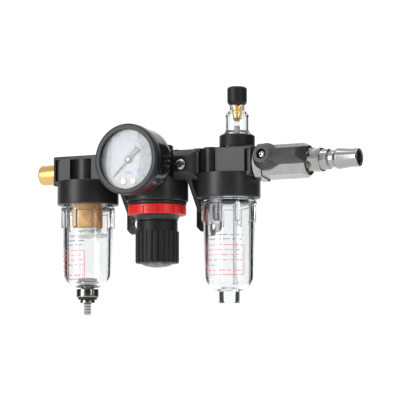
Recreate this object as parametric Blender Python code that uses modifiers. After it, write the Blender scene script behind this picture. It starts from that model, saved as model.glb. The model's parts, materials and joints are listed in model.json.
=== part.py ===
"""Filter, regulator and lubricator unit for compressed air, with a ball valve and a hose plug.

Lengths are in millimetres and are scaled to metres where geometry is made. The origin lies on the
wall plane that both brackets rest on, level with the ports and in line with the regulator's axis.
+X is the flow direction, +Y points into the wall and +Z is up. Each module is built around an
empty on its own vertical axis, so its profiles are (radius, height) pairs from that axis.
"""

import math

import bmesh
import bpy
from mathutils import Matrix, Vector

MM = 0.001
GAP = 0.3                     # clearance left between pieces that touch on the real unit

# Driving dimensions
PITCH = 51.6                  # distance between two module axes
AXIS_Y = -23.0                # module axes in front of the wall plane
HALF_BODY = 20.6              # half the width of a module block
HALF_DEPTH = 10.0             # half the depth of a module block
BLOCK_TOP = 10.6
BLOCK_BOTTOM = -8.6
COLLAR_R = 20.0
COLLAR_TOP = -5.7
COLLAR_BOTTOM = -21.4
GROOVE_IN = 15.7              # clamp groove, from the module axis
GROOVE_OUT = 19.2
GROOVE_FLOOR = 7.6
GROOVE_TOP = 8.6
THREAD_R = 6.58               # G1/4 thread
PORT_R = 6.9
PORT_DEPTH = 9.0
PASSAGE_R = 5.0
BOWL_R = 16.2
BOWL_RIB_R = 17.7
BOWL_WALL = 2.2
CAVITY_R = 15.5
CAVITY_TOP = -12.2
FILTER_BOWL_BOTTOM = -75.4
LUBRICATOR_BOWL_BOTTOM = -80.2
RIBS = 8
FLUTES = 24
NUT_NOTCHES = 12
GAUGE_Z = 2.3
GAUGE_R = 22.5
GAUGE_FRONT = 42.0
DOME_SHIFT = 5.8              # sight dome, downstream of the lubricator axis
FILLER = (-10.3, -4.4)        # oil filler, from the lubricator axis
STEM_X = 84.0                 # ball valve stem
VALVE_TILT = math.radians(-9.0)   # the valve stops this far round when its thread is tight
VALVE_FLATS = 19.6
BALL_R = 7.0
LEVER_FRONT = 21.0
WALL_HOLE_Z = -32.6
PLUG_TIP = 141.5
NIPPLE_END = -86.3

LARGE = 20                    # sides of large, medium and small round pieces
MEDIUM = 14
SMALL = 8

UP = (0.0, 0.0, 0.0)
ALONG_X = (0.0, math.radians(90.0), 0.0)
TO_FRONT = (math.radians(90.0), 0.0, 0.0)


# Scene and materials

def clear_scene():
    for obj in list(bpy.data.objects):
        bpy.data.objects.remove(obj, do_unlink=True)


def new_collection(name):
    collection = bpy.data.collections.new(name)
    bpy.context.scene.collection.children.link(collection)
    return collection


def material(name, colour, roughness, metallic=0.0, alpha=1.0):
    made = bpy.data.materials.new(name)
    made.use_nodes = True
    shader = made.node_tree.nodes["Principled BSDF"]
    shader.inputs["Base Color"].default_value = (*colour, 1.0)
    shader.inputs["Roughness"].default_value = roughness
    shader.inputs["Metallic"].default_value = metallic
    shader.inputs["Alpha"].default_value = alpha
    made.diffuse_color = (*colour, alpha)
    return made


clear_scene()
UNIT = new_collection("filter_regulator_lubricator")
CUTTERS = new_collection("cutters")

BLACK = material("black_casting", (0.035, 0.035, 0.038), 0.45)
KNOB_BLACK = material("black_knob", (0.02, 0.02, 0.021), 0.5)
GAUGE_BLACK = material("gauge_case_black", (0.03, 0.03, 0.033), 0.3)
RED = material("red_nut", (0.78, 0.03, 0.02), 0.35)
CLEAR = material("clear_polycarbonate", (0.9, 0.92, 0.92), 0.05, alpha=0.3)
RUBBER = material("black_rubber", (0.02, 0.02, 0.02), 0.7)
WHITE = material("white_plastic", (0.86, 0.86, 0.83), 0.4)
SINTER = material("sintered_element", (0.55, 0.33, 0.16), 0.85)
NICKEL = material("nickel_plate", (0.72, 0.71, 0.68), 0.2, 1.0)
BRASS = material("brass", (0.83, 0.62, 0.28), 0.28, 1.0)
STEEL = material("steel", (0.62, 0.62, 0.63), 0.3, 1.0)
DIAL = material("dial_white", (0.9, 0.91, 0.92), 0.5)
POINTER = material("pointer_grey", (0.6, 0.6, 0.61), 0.35, 0.6)


# Building blocks

def add_empty(name, location, rotation=UP, parent=None):
    empty = bpy.data.objects.new(name, None)
    empty.location = Vector(location) * MM
    empty.rotation_euler = rotation
    empty.parent = parent
    UNIT.objects.link(empty)
    return empty


def add_object(name, data, parent, at=(0.0, 0.0, 0.0), turn=UP):
    obj = bpy.data.objects.new(name, data)
    obj.location = Vector(at) * MM
    obj.rotation_euler = turn
    obj.parent = parent
    UNIT.objects.link(obj)
    return obj


def mesh_from(name, bm):
    mesh = bpy.data.meshes.new(name)
    bm.normal_update()
    bm.to_mesh(mesh)
    bm.free()
    return mesh


def finish(obj, finish_material):
    obj.data.materials.append(finish_material)
    return obj


def turned(name, parent, profile, sides=LARGE, ring=False, at=(0.0, 0.0, 0.0), turn=UP):
    """A turned shape: the profile runs from the top down its outer side."""
    points = [(radius * MM, 0.0, height * MM) for radius, height in profile]
    edges = [(i, i + 1) for i in range(len(points) - 1)]
    if ring:
        edges.append((len(points) - 1, 0))
    mesh = bpy.data.meshes.new(name)
    mesh.from_pydata(points, edges, [])
    obj = add_object(name, mesh, parent, at, turn)
    screw = obj.modifiers.new("turn", "SCREW")
    screw.axis = "Z"
    screw.angle = math.tau
    screw.steps = sides
    screw.render_steps = sides
    screw.use_merge_vertices = True
    screw.merge_threshold = 0.00001
    screw.use_smooth_shade = True
    return obj


def tube(name, parent, outer, inner, top, bottom, sides=LARGE, at=(0.0, 0.0, 0.0), turn=UP):
    profile = [(outer, top), (outer, bottom), (inner, bottom), (inner, top)]
    return turned(name, parent, profile, sides, True, at, turn)


def rod(name, parent, radius, start, end, sides=MEDIUM, end_radius=None):
    """A cylinder, cone or hexagonal bar between two points."""
    start = Vector(start) * MM
    end = Vector(end) * MM
    along = end - start
    bm = bmesh.new()
    radius_2 = radius if end_radius is None else end_radius
    bmesh.ops.create_cone(bm, cap_ends=True, segments=sides, radius1=radius * MM,
                          radius2=radius_2 * MM, depth=along.length)
    facing = along.to_track_quat("Z", "Y").to_matrix().to_4x4()
    middle = Matrix.Translation((start + end) / 2)
    bmesh.ops.transform(bm, matrix=middle @ facing, verts=bm.verts)
    return add_object(name, mesh_from(name, bm), parent)


def box_in(bm, low, high, matrix=None):
    """Add one box to a mesh under construction."""
    low = Vector(low) * MM
    high = Vector(high) * MM
    size = high - low
    place = Matrix.Translation((low + high) / 2) @ Matrix.Diagonal((*size, 1.0))
    if matrix is not None:
        place = matrix @ place
    return bmesh.ops.create_cube(bm, size=1.0, matrix=place)["verts"]


def box(name, parent, low, high):
    bm = bmesh.new()
    box_in(bm, low, high)
    return add_object(name, mesh_from(name, bm), parent)


def tapered_box(name, parent, low, high, insets):
    """A box whose +Z face is drawn in by (left, right, front, back) insets."""
    bm = bmesh.new()
    left, right, front, back = insets
    for vert in box_in(bm, low, high):
        if vert.co.z > (low[2] + high[2]) / 2 * MM:
            vert.co.x += left * MM if vert.co.x < (low[0] + high[0]) / 2 * MM else -right * MM
            vert.co.y += front * MM if vert.co.y < (low[1] + high[1]) / 2 * MM else -back * MM
    return add_object(name, mesh_from(name, bm), parent)


def ring_of_boxes(name, parent, count, inner, outer, width, bottom, top):
    """Separate boxes spaced evenly round the axis, as one cutter or one set of ribs."""
    bm = bmesh.new()
    for i in range(count):
        turn = Matrix.Rotation(math.tau * i / count, 4, "Z")
        box_in(bm, (inner, -width / 2, bottom), (outer, width / 2, top), turn)
    return add_object(name, mesh_from(name, bm), parent)


def as_mesh(curve_object, name, parent, at, turn):
    """Turn a curve object into a welded mesh object in the same place."""
    depsgraph = bpy.context.evaluated_depsgraph_get()
    mesh = bpy.data.meshes.new_from_object(curve_object.evaluated_get(depsgraph))
    bpy.data.objects.remove(curve_object, do_unlink=True)
    bm = bmesh.new()
    bm.from_mesh(mesh)
    bmesh.ops.remove_doubles(bm, verts=bm.verts, dist=0.000001)
    bmesh.ops.recalc_face_normals(bm, faces=bm.faces)
    bm.to_mesh(mesh)
    bm.free()
    mesh.name = name
    return add_object(name, mesh, parent, at, turn)


def plate(name, parent, outline, thickness, at=(0.0, 0.0, 0.0), turn=UP, holes=()):
    """A flat outline with optional holes, extruded evenly about its plane."""
    curve = bpy.data.curves.new(name, "CURVE")
    curve.dimensions = "2D"
    curve.fill_mode = "BOTH"
    curve.extrude = thickness / 2 * MM
    for loop in (outline, *holes):
        spline = curve.splines.new("POLY")
        spline.points.add(len(loop) - 1)
        spline.use_cyclic_u = True
        for point, (x, y) in zip(spline.points, loop):
            point.co = (x * MM, y * MM, 0.0, 1.0)
    guide = bpy.data.objects.new(name + "_outline", curve)
    UNIT.objects.link(guide)
    return as_mesh(guide, name, parent, at, turn)


def wire(name, parent, points, radius):
    """A round wire through the given points."""
    curve = bpy.data.curves.new(name, "CURVE")
    curve.dimensions = "3D"
    curve.bevel_depth = radius * MM
    curve.bevel_resolution = 2
    curve.use_fill_caps = True
    spline = curve.splines.new("POLY")
    spline.points.add(len(points) - 1)
    for point, place in zip(spline.points, points):
        point.co = (*(Vector(place) * MM), 1.0)
    guide = bpy.data.objects.new(name + "_line", curve)
    UNIT.objects.link(guide)
    return as_mesh(guide, name, parent, (0.0, 0.0, 0.0), UP)


def arc(radius, start_degrees, end_degrees, steps, centre=(0.0, 0.0)):
    """Points along an arc about a centre, both ends included."""
    points = []
    for i in range(steps + 1):
        angle = math.radians(start_degrees + (end_degrees - start_degrees) * i / steps)
        points.append((centre[0] + radius * math.cos(angle), centre[1] + radius * math.sin(angle)))
    return points


def helix(radius, low, high, turns, per_turn):
    points = []
    count = int(turns * per_turn)
    for i in range(count + 1):
        angle = math.tau * i / per_turn
        height = low + (high - low) * i / count
        points.append((radius * math.cos(angle), radius * math.sin(angle), height))
    return points


def combine(target, tool, operation):
    change = target.modifiers.new(operation.lower(), "BOOLEAN")
    change.operation = operation
    change.object = tool
    UNIT.objects.unlink(tool)
    CUTTERS.objects.link(tool)
    tool.hide_render = True
    tool.display_type = "WIRE"


def cut(target, *tools):
    for tool in tools:
        combine(target, tool, "DIFFERENCE")


def join(target, *tools):
    for tool in tools:
        combine(target, tool, "UNION")


# Shared module shapes

def module_block(name, axis):
    """The block with its clamp grooves, and the round collar below it."""
    block = box(name, axis, (-HALF_BODY, -HALF_DEPTH, BLOCK_BOTTOM), (HALF_BODY, HALF_DEPTH, BLOCK_TOP))
    collar = [(0, COLLAR_TOP), (COLLAR_R, COLLAR_TOP), (COLLAR_R, COLLAR_BOTTOM), (0, COLLAR_BOTTOM)]
    join(block, turned(name + "_collar", axis, collar))
    bm = bmesh.new()
    for side in (-1, 1):
        for face in (-1, 1):
            across = sorted((side * GROOVE_IN, side * GROOVE_OUT))
            deep = sorted((face * GROOVE_FLOOR, face * (HALF_DEPTH + 1)))
            box_in(bm, (across[0], deep[0], COLLAR_TOP), (across[1], deep[1], GROOVE_TOP))
    cut(block, add_object(name + "_grooves", mesh_from(name + "_grooves", bm), axis))
    return block


def cut_ports(block, axis, name, left_end, right_end):
    """Threaded ports at both ends, and the passages behind them."""
    for side, end in ((-1, left_end), (1, right_end)):
        label = "%s_port_%s" % (name, "left" if side < 0 else "right")
        face = side * (HALF_BODY + 1)
        shoulder = side * (HALF_BODY - PORT_DEPTH)
        cut(block, rod(label, axis, PORT_R, (face, 0, 0), (shoulder, 0, 0)))
        cut(block, rod(label + "_passage", axis, PASSAGE_R, (shoulder + side, 0, 0), (end, 0, 0)))


def bowl_profile(bottom):
    """(outer, inner) halves of a clear bowl: a threaded neck, a flange and a round bottom."""
    neck_r = CAVITY_R - 0.5
    inner = BOWL_R - BOWL_WALL
    low_r = BOWL_R - 0.5
    bend = 9.5
    outer = [(neck_r, -14.0), (neck_r, -21.7), (BOWL_R, -21.8), (BOWL_R, -22.8), (BOWL_RIB_R, -23.1),
             (BOWL_RIB_R, -25.2), (BOWL_R, -25.4)]
    outer += arc(bend, 0, -90, 4, (low_r - bend, bottom + bend))
    inside = arc(bend - BOWL_WALL, -90, 0, 3, (low_r - bend, bottom + bend))
    inside += [(inner, -24.0), (neck_r - BOWL_WALL, -21.0), (neck_r - BOWL_WALL, -14.0)]
    return outer, inside


def bowl_ribs(name, axis):
    return ring_of_boxes(name, axis, RIBS, BOWL_R - 1.0, BOWL_RIB_R, 3.0, -36.7, -25.0)


def bowl_seal(name, axis):
    ring = arc(0.6, 90, -270, 6, (14.1, -13.1))[:-1]
    return finish(turned(name, axis, ring, LARGE, True), RUBBER)


# Filter

def make_filter_body(axis):
    body = module_block("filter_body", axis)
    cut(body, box("filter_window", axis, (-8.0, -HALF_DEPTH - 1, COLLAR_TOP), (8.0, -6.5, 8.4)))
    join(body, rod("filter_window_wall", axis, 9.6, (0, 0, COLLAR_TOP - 0.5), (0, 0, 9.0), LARGE))
    cavity = [(0, -17.0), (7.5, -17.0), (7.5, CAVITY_TOP), (CAVITY_R, CAVITY_TOP), (CAVITY_R, -22.0),
              (0, -22.0)]
    cut(body, turned("filter_cavity", axis, cavity))
    cut_ports(body, axis, "filter", -8.6, 3.2)
    cut(body, rod("filter_drop", axis, 2.6, (-11.3, 0, 0), (-11.3, 0, -12.8), SMALL))
    cut(body, rod("filter_riser", axis, 5.2, (0, 0, 3.0), (0, 0, -17.5)))
    join(body, rod("filter_stud", axis, 1.8, (0, 0, 4.0), (0, 0, -38.0), SMALL))
    return finish(body, BLACK)


def make_filter_insides(axis):
    finish(tube("filter_deflector", axis, 12.4, 7.9, -15.6, -19.2), WHITE)
    vanes = ring_of_boxes("deflector_slots", axis, 12, 10.6, 13.5, 1.6, -18.4, -15.0)
    cut(bpy.data.objects["filter_deflector"], vanes)
    element = [(9.6, -19.5), (9.6, -35.4), (8.9, -36.2), (6.4, -36.2), (6.4, -19.5)]
    finish(turned("filter_element", axis, element, MEDIUM, True), SINTER)
    baffle = [(0, -38.4), (2.1, -38.4), (2.1, -36.6), (4.3, -36.6), (4.3, -39.8), (12.5, -40.3),
              (12.5, -41.5), (0, -41.5)]
    finish(turned("filter_baffle", axis, baffle, MEDIUM), WHITE)


def make_filter_bowl(axis):
    outer, inside = bowl_profile(FILTER_BOWL_BOTTOM)
    drain_hole = [(4.5, FILTER_BOWL_BOTTOM), (4.5, FILTER_BOWL_BOTTOM + BOWL_WALL)]
    bowl = turned("filter_bowl", axis, outer + drain_hole + inside, LARGE, True)
    join(bowl, bowl_ribs("filter_bowl_ribs", axis))
    finish(bowl, CLEAR)
    bowl_seal("filter_bowl_seal", axis)


def make_drain(axis):
    washer = [(0, -70.8), (5.6, -70.8), (7.2, -71.6), (7.2, -72.8), (0, -72.8)]
    nut = turned("drain_nut", axis, washer, MEDIUM)
    join(nut, rod("drain_nut_hexagon", axis, 6.0, (0, 0, -71.9), (0, 0, -69.4), 6))
    cut(nut, rod("drain_nut_bore", axis, 4.2, (0, 0, -74.0), (0, 0, -68.0)))
    finish(nut, NICKEL)
    body = [(2.6, -69.0), (3.9, -69.0), (3.9, -75.9), (7.35, -76.3), (7.35, -81.4), (6.7, -81.6),
            (6.7, -78.6), (2.6, -78.6)]
    finish(turned("drain_body", axis, body, MEDIUM, True), NICKEL)
    seal = arc(1.0, 90, -270, 6, (5.3, -82.0))[:-1]
    finish(turned("drain_seal", axis, seal, MEDIUM, True), RUBBER)
    barb_pitch = 1.85
    stem = [(0.9, -74.0), (2.2, -74.0), (2.2, -80.8), (4.0, -80.8), (4.0, -83.2), (4.9, -83.4),
            (4.9, -85.2)]
    for i in range(4):
        top = -85.4 - i * barb_pitch
        stem += [(2.0, top), (2.65, top - 0.3), (2.0, top - barb_pitch)]
    stem += [(0.9, -85.4 - 4 * barb_pitch)]
    finish(turned("drain_stem", axis, stem, SMALL, True), NICKEL)


# Regulator

def make_regulator_body(axis):
    body = module_block("regulator_body", axis)
    join(body, rod("gauge_boss", axis, 7.6, (0, -9.0, GAUGE_Z), (0, -12.6, GAUGE_Z)))
    chamber = [(0, -15.6), (14.0, -15.6), (14.0, -18.6), (18.0, -18.6), (18.0, -22.0), (0, -22.0)]
    cut(body, turned("diaphragm_chamber", axis, chamber))
    cut_ports(body, axis, "regulator", -4.0, 9.4)
    cut(body, rod("poppet_chamber", axis, 6.4, (0, 0, BLOCK_TOP + 1), (0, 0, -1.0)))
    cut(body, rod("poppet_seat", axis, 3.6, (0, 0, 0), (0, 0, -11.0)))
    cut(body, rod("poppet_guide", axis, 1.9, (0, 0, -10.0), (0, 0, -16.0), SMALL))
    cut(body, rod("outlet_gallery", axis, 2.1, (0, 0, -8.2), (12.6, 0, -8.2), SMALL))
    cut(body, rod("outlet_riser", axis, 2.6, (12.4, 0, 0), (12.4, 0, -10.9), SMALL))
    cut(body, rod("gauge_port", axis, 5.0, (0, -13.5, GAUGE_Z), (0, -7.8, GAUGE_Z)))
    cut(body, rod("gauge_gallery", axis, 0.9, (0, -8.9, GAUGE_Z), (11.6, -8.9, GAUGE_Z), SMALL))
    cut(body, rod("gauge_feed", axis, 0.9, (11.2, -9.3, GAUGE_Z), (11.2, -3.0, GAUGE_Z), SMALL))
    return finish(body, BLACK)


def make_valve_train(axis):
    plug = [(0, 15.3), (9.5, 15.3), (10.3, 14.6), (10.3, 10.9), (6.1, 10.9), (6.1, 5.0), (4.2, 5.0),
            (4.2, 11.5), (0, 11.5)]
    finish(turned("valve_guide_plug", axis, plug, MEDIUM), BLACK)
    poppet = [(0, 8.0), (1.6, 8.0), (1.6, 1.6), (5.0, 1.6), (5.0, -0.2), (3.0, -0.7), (1.5, -1.2),
              (1.5, -18.3), (0, -18.3)]
    travel = add_empty("poppet_travel", (0, 0, 0), parent=axis)
    finish(turned("poppet", travel, poppet, MEDIUM), BRASS)
    finish(wire("poppet_spring", axis, helix(2.9, 2.5, 10.6, 3, 8), 0.4), STEEL)


def make_diaphragm(axis):
    sheet = [(9.0, -19.5), (11.0, -19.5), (13.0, -18.4), (15.0, -19.5), (17.6, -19.5), (17.6, -20.4),
             (14.8, -20.4), (13.0, -19.3), (11.2, -20.4), (9.0, -20.4)]
    finish(turned("diaphragm", axis, sheet, LARGE, True), RUBBER)
    travel = add_empty("plate_travel", (0, 0, 0), parent=axis)
    middle = [(0, -18.6), (8.6, -18.6), (8.6, -22.4), (5.8, -22.4), (5.8, -24.0), (0, -24.0)]
    finish(turned("diaphragm_plate", travel, middle, MEDIUM), STEEL)


def make_bonnet(axis):
    outline = [(17.4, -20.8), (17.4, -21.7), (18.9, -21.7), (18.9, -23.3), (16.2, -23.5),
               (16.2, -30.1), (14.8, -30.4), (13.8, -32.0), (13.4, -32.6), (13.4, -33.6),
               (11.5, -33.7), (11.5, -53.3), (3.3, -53.3), (3.3, -50.8), (10.0, -50.8),
               (10.0, -26.5), (15.2, -24.6), (15.2, -20.8)]
    finish(turned("bonnet", axis, outline, LARGE, True), BLACK)
    nut = tube("ring_nut", axis, 18.7, 16.6, -23.8, -30.0)
    cut(nut, ring_of_boxes("nut_notches", axis, NUT_NOTCHES, 17.7, 20.0, 3.0, -31.0, -24.9))
    finish(nut, RED)


def make_adjuster(axis):
    knob = [(12.2, -34.0), (12.9, -34.0), (13.15, -34.4), (13.15, -40.3), (14.05, -40.5),
            (14.05, -60.2), (13.3, -60.9), (10.3, -60.9), (10.3, -59.1), (4.0, -59.1), (4.0, -53.8),
            (12.2, -53.8)]
    knob = turned("adjusting_knob", axis, knob, LARGE, True)
    cut(knob, rod("knob_socket", axis, 5.7, (0, 0, -53.0), (0, 0, -60.0), 6))
    cut(knob, ring_of_boxes("knob_flutes", axis, FLUTES, 13.3, 15.0, 0.9, -62.0, -40.9))
    finish(knob, KNOB_BLACK)
    cap = [(0, -59.4), (10.0, -59.4), (10.0, -61.0), (9.5, -61.8), (8.1, -62.5), (5.9, -63.0),
           (3.1, -63.4), (0, -63.5)]
    finish(turned("knob_cap", axis, cap, MEDIUM), KNOB_BLACK)
    screw = rod("adjusting_screw", axis, 2.9, (0, 0, -38.0), (0, 0, -54.0), SMALL)
    join(screw, rod("screw_head", axis, 5.3, (0, 0, -53.6), (0, 0, -58.8), 6))
    finish(screw, STEEL)
    travel = add_empty("seat_travel", (0, 0, 0), parent=axis)
    seat = [(3.3, -45.3), (5.8, -45.3), (5.8, -47.2), (9.6, -47.2), (9.6, -49.2), (3.3, -49.2)]
    finish(turned("spring_seat", travel, seat, MEDIUM, True), BRASS)
    finish(wire("regulating_spring", axis, helix(7.9, -45.9, -23.8, 4, 8), 1.0), STEEL)


# Pressure gauge

def make_gauge_housing(gauge):
    rim = GAUGE_FRONT
    bezel = [(18.7, rim), (21.7, rim), (GAUGE_R, rim - 0.8), (GAUGE_R, 36.6), (21.75, 36.6),
             (21.75, 40.35), (18.7, 40.35)]
    finish(turned("gauge_bezel", gauge, bezel, LARGE, True), GAUGE_BLACK)
    case = [(20.6, 40.0), (21.4, 40.0), (21.4, 21.4), (20.4, 20.4), (4.2, 20.4), (4.2, 22.0),
            (20.0, 22.0), (20.0, 38.6), (20.6, 38.6)]
    finish(turned("gauge_case", gauge, case, LARGE, True), GAUGE_BLACK)
    lens = [(0, 40.0), (20.3, 40.0), (20.3, 38.95), (0, 38.95)]
    finish(turned("gauge_lens", gauge, lens, LARGE), CLEAR)


def make_gauge_works(gauge):
    dial = turned("gauge_dial", gauge, [(1.3, 37.4), (19.6, 37.4), (19.6, 36.6), (1.3, 36.6)],
                  LARGE, True)
    for side in (-1, 1):
        place = (side * 3.4, -13.6)
        label = "left" if side < 0 else "right"
        cut(dial, rod("dial_hole_" + label, gauge, 1.4, (*place, 38.0), (*place, 36.0), SMALL))
        head = [(0, 38.3), (1.7, 38.3), (2.0, 38.0), (2.0, 37.7), (1.0, 37.7), (1.0, 33.5), (0, 33.5)]
        finish(turned("dial_screw_" + label, gauge, head, SMALL, at=(*place, 0.0)), BRASS)
    finish(dial, DIAL)
    stem = rod("gauge_stem", gauge, 4.6, (0, 0, 8.4), (0, 0, 13.2))
    join(stem, rod("stem_hexagon", gauge, 7.0, (0, 0, 12.9), (0, 0, 20.1), 6))
    join(stem, rod("stem_neck", gauge, 3.8, (0, 0, 19.5), (0, 0, 23.0)))
    join(stem, box("stem_block", gauge, (-4.0, -6.0, 22.3), (4.0, 4.0, 31.0)))
    cut(stem, rod("stem_passage", gauge, 1.4, (0, 0, 7.5), (0, 0, 22.0), SMALL))
    cut(stem, rod("arbor_bore", gauge, 1.1, (0, 0, 32.0), (0, 0, 25.0), SMALL))
    finish(stem, BRASS)
    bend = [(x, y, 26.0) for x, y in arc(12.5, -110, 160, 11)]
    finish(wire("bourdon_tube", gauge, bend, 1.5), BRASS)


def make_pointer(gauge):
    """The pointer rests at zero, lower left, and turns clockwise as the viewer sees it."""
    zero = add_empty("pointer_axis", (0, 0, 0), parent=gauge)
    rest = math.radians(225.0)
    needle = [(14.6, 0.25), (2.0, 0.85), (0.5, 1.5), (-3.0, 1.6), (-9.6, 1.9), (-9.6, -1.9),
              (-3.0, -1.6), (0.5, -1.5), (2.0, -0.85), (14.6, -0.25)]
    pointer = plate("gauge_pointer", zero, needle, 0.4, (0, 0, 38.1), (0.0, 0.0, rest))
    join(pointer, rod("pointer_hub", zero, 2.4, (0, 0, 38.6), (0, 0, 37.7), MEDIUM))
    join(pointer, rod("pointer_arbor", zero, 0.8, (0, 0, 38.3), (0, 0, 26.0), SMALL))
    finish(pointer, POINTER)


# Lubricator

def make_lubricator_body(axis):
    body = module_block("lubricator_body", axis)
    cut(body, box("filler_recess", axis, (-GROOVE_IN, -HALF_DEPTH - 1, COLLAR_TOP), (-3.0, -7.3, 12.0)))
    join(body, rod("filler_boss", axis, 5.2, (*FILLER, COLLAR_TOP - 0.5), (*FILLER, 11.1)))
    cut(body, turned("lubricator_cavity", axis,
                     [(0, CAVITY_TOP), (CAVITY_R, CAVITY_TOP), (CAVITY_R, -22.0), (0, -22.0)]))
    cut_ports(body, axis, "lubricator", -5.5, 5.5)
    cut(body, rod("throat", axis, 3.4, (-6.0, 0, 0), (6.0, 0, 0)))
    cut(body, rod("dome_well", axis, 7.4, (DOME_SHIFT, 0, 12.0), (DOME_SHIFT, 0, 7.2)))
    cut(body, rod("filler_bore", axis, 3.4, (*FILLER, 12.0), (*FILLER, 6.8)))
    cut(body, rod("filler_drop", axis, 1.2, (FILLER[0], -7.1, 7.0), (FILLER[0], -7.1, -12.8), SMALL))
    cut(body, rod("siphon_riser", axis, 1.8, (4.4, 0, -13.0), (4.4, 0, -7.2), SMALL))
    cut(body, rod("siphon_cross", axis, 0.9, (4.4, 0, -8.2), (4.4, 7.2, -8.2), SMALL))
    cut(body, rod("siphon_feed", axis, 0.8, (4.4, 6.4, -8.8), (4.4, 6.4, 8.0), SMALL))
    join(body, rod("drip_spout", axis, 1.8, (DOME_SHIFT, 0, 5.2), (DOME_SHIFT, 0, 24.5), SMALL))
    cut(body, rod("drip_bore", axis, 1.0, (DOME_SHIFT, 0, 2.0), (DOME_SHIFT, 0, 25.0), SMALL))
    return finish(body, BLACK)


def make_lubricator_bowl(axis):
    outer, inside = bowl_profile(LUBRICATOR_BOWL_BOTTOM)
    nub_r = 7.1
    foot = LUBRICATOR_BOWL_BOTTOM
    nub = [(nub_r, foot - 0.2), (nub_r - 0.3, foot - 7.0), (nub_r - 1.0, foot - 7.5), (0, foot - 7.5)]
    floor = [(0, foot + BOWL_WALL)]
    profile = floor + inside + outer + nub
    bowl = turned("lubricator_bowl", axis, profile, LARGE)
    join(bowl, bowl_ribs("lubricator_bowl_ribs", axis))
    finish(bowl, CLEAR)
    bowl_seal("lubricator_bowl_seal", axis)


def make_oil_feed(axis):
    finish(tube("siphon_tube", axis, 1.4, 0.8, -8.0, -76.5, SMALL, at=(4.4, 0, 0)), WHITE)
    slot = arc(2.2, 0, 180, 6, (0, -26.0)) + arc(2.2, 180, 360, 6, (0, -33.0))
    outline = [(-4.5, -12.7)] + arc(4.5, 180, 360, 8, (0, -33.0)) + [(4.5, -12.7)]
    guard = plate("splash_guard", axis, outline, 1.2, (-6.3, -6.0, 0), TO_FRONT, [slot])
    finish(guard, WHITE)
    plug = [(0, 10.9), (3.1, 10.9), (3.1, 7.2), (0, 7.2)]
    plug = turned("filler_plug", axis, plug, MEDIUM, at=(*FILLER, 0))
    cut(plug, rod("filler_socket", axis, 1.7, (*FILLER, 12.0), (*FILLER, 8.8), 6))
    finish(plug, BLACK)
    hinge = add_empty("damper_axis", (-10.5, 0, 3.0), parent=axis)
    flap = box("flow_damper", hinge, (-0.4, -2.6, -6.4), (0.4, 2.6, 0.2))
    join(flap, rod("damper_pin", hinge, 0.6, (0, -3.0, 0), (0, 3.0, 0), SMALL))
    finish(flap, WHITE)


def make_sight_dome(axis):
    dome_axis = add_empty("dome_axis", (DOME_SHIFT, 0, 0), parent=axis)
    collar = [(9.3, 18.7), (10.2, 18.7), (11.25, 17.8), (11.25, 10.9), (9.3, 10.9)]
    finish(turned("dome_base", dome_axis, collar, LARGE, True), BLACK)
    shoulder = arc(4.0, 60, 0, 4, (3.4, 30.6))
    outer = [(3.7, 37.4), (5.0, 37.4), (5.0, 35.0)] + shoulder + [(7.4, 21.6), (8.9, 19.6), (8.9, 11.0)]
    inner = [(6.2, 11.0), (6.2, 30.2), (3.7, 34.0)]
    finish(turned("sight_dome", dome_axis, outer + inner, MEDIUM, True), CLEAR)
    knob = [(0, 49.4), (4.9, 49.4), (6.25, 48.3), (6.25, 39.7), (5.4, 37.9), (1.9, 37.9), (1.9, 45.0),
            (0, 45.0)]
    finish(turned("drip_knob", dome_axis, knob, MEDIUM), KNOB_BLACK)
    needle = [(0, 43.0), (1.5, 43.0), (1.5, 36.8), (3.3, 36.6), (3.3, 32.5), (2.9, 29.8), (3.1, 29.6),
              (3.1, 29.0), (2.2, 28.7), (1.6, 27.4), (0, 27.4)]
    finish(turned("needle_valve", dome_axis, needle, SMALL), BRASS)


# Spacers, clamps and wall brackets between the modules

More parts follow.
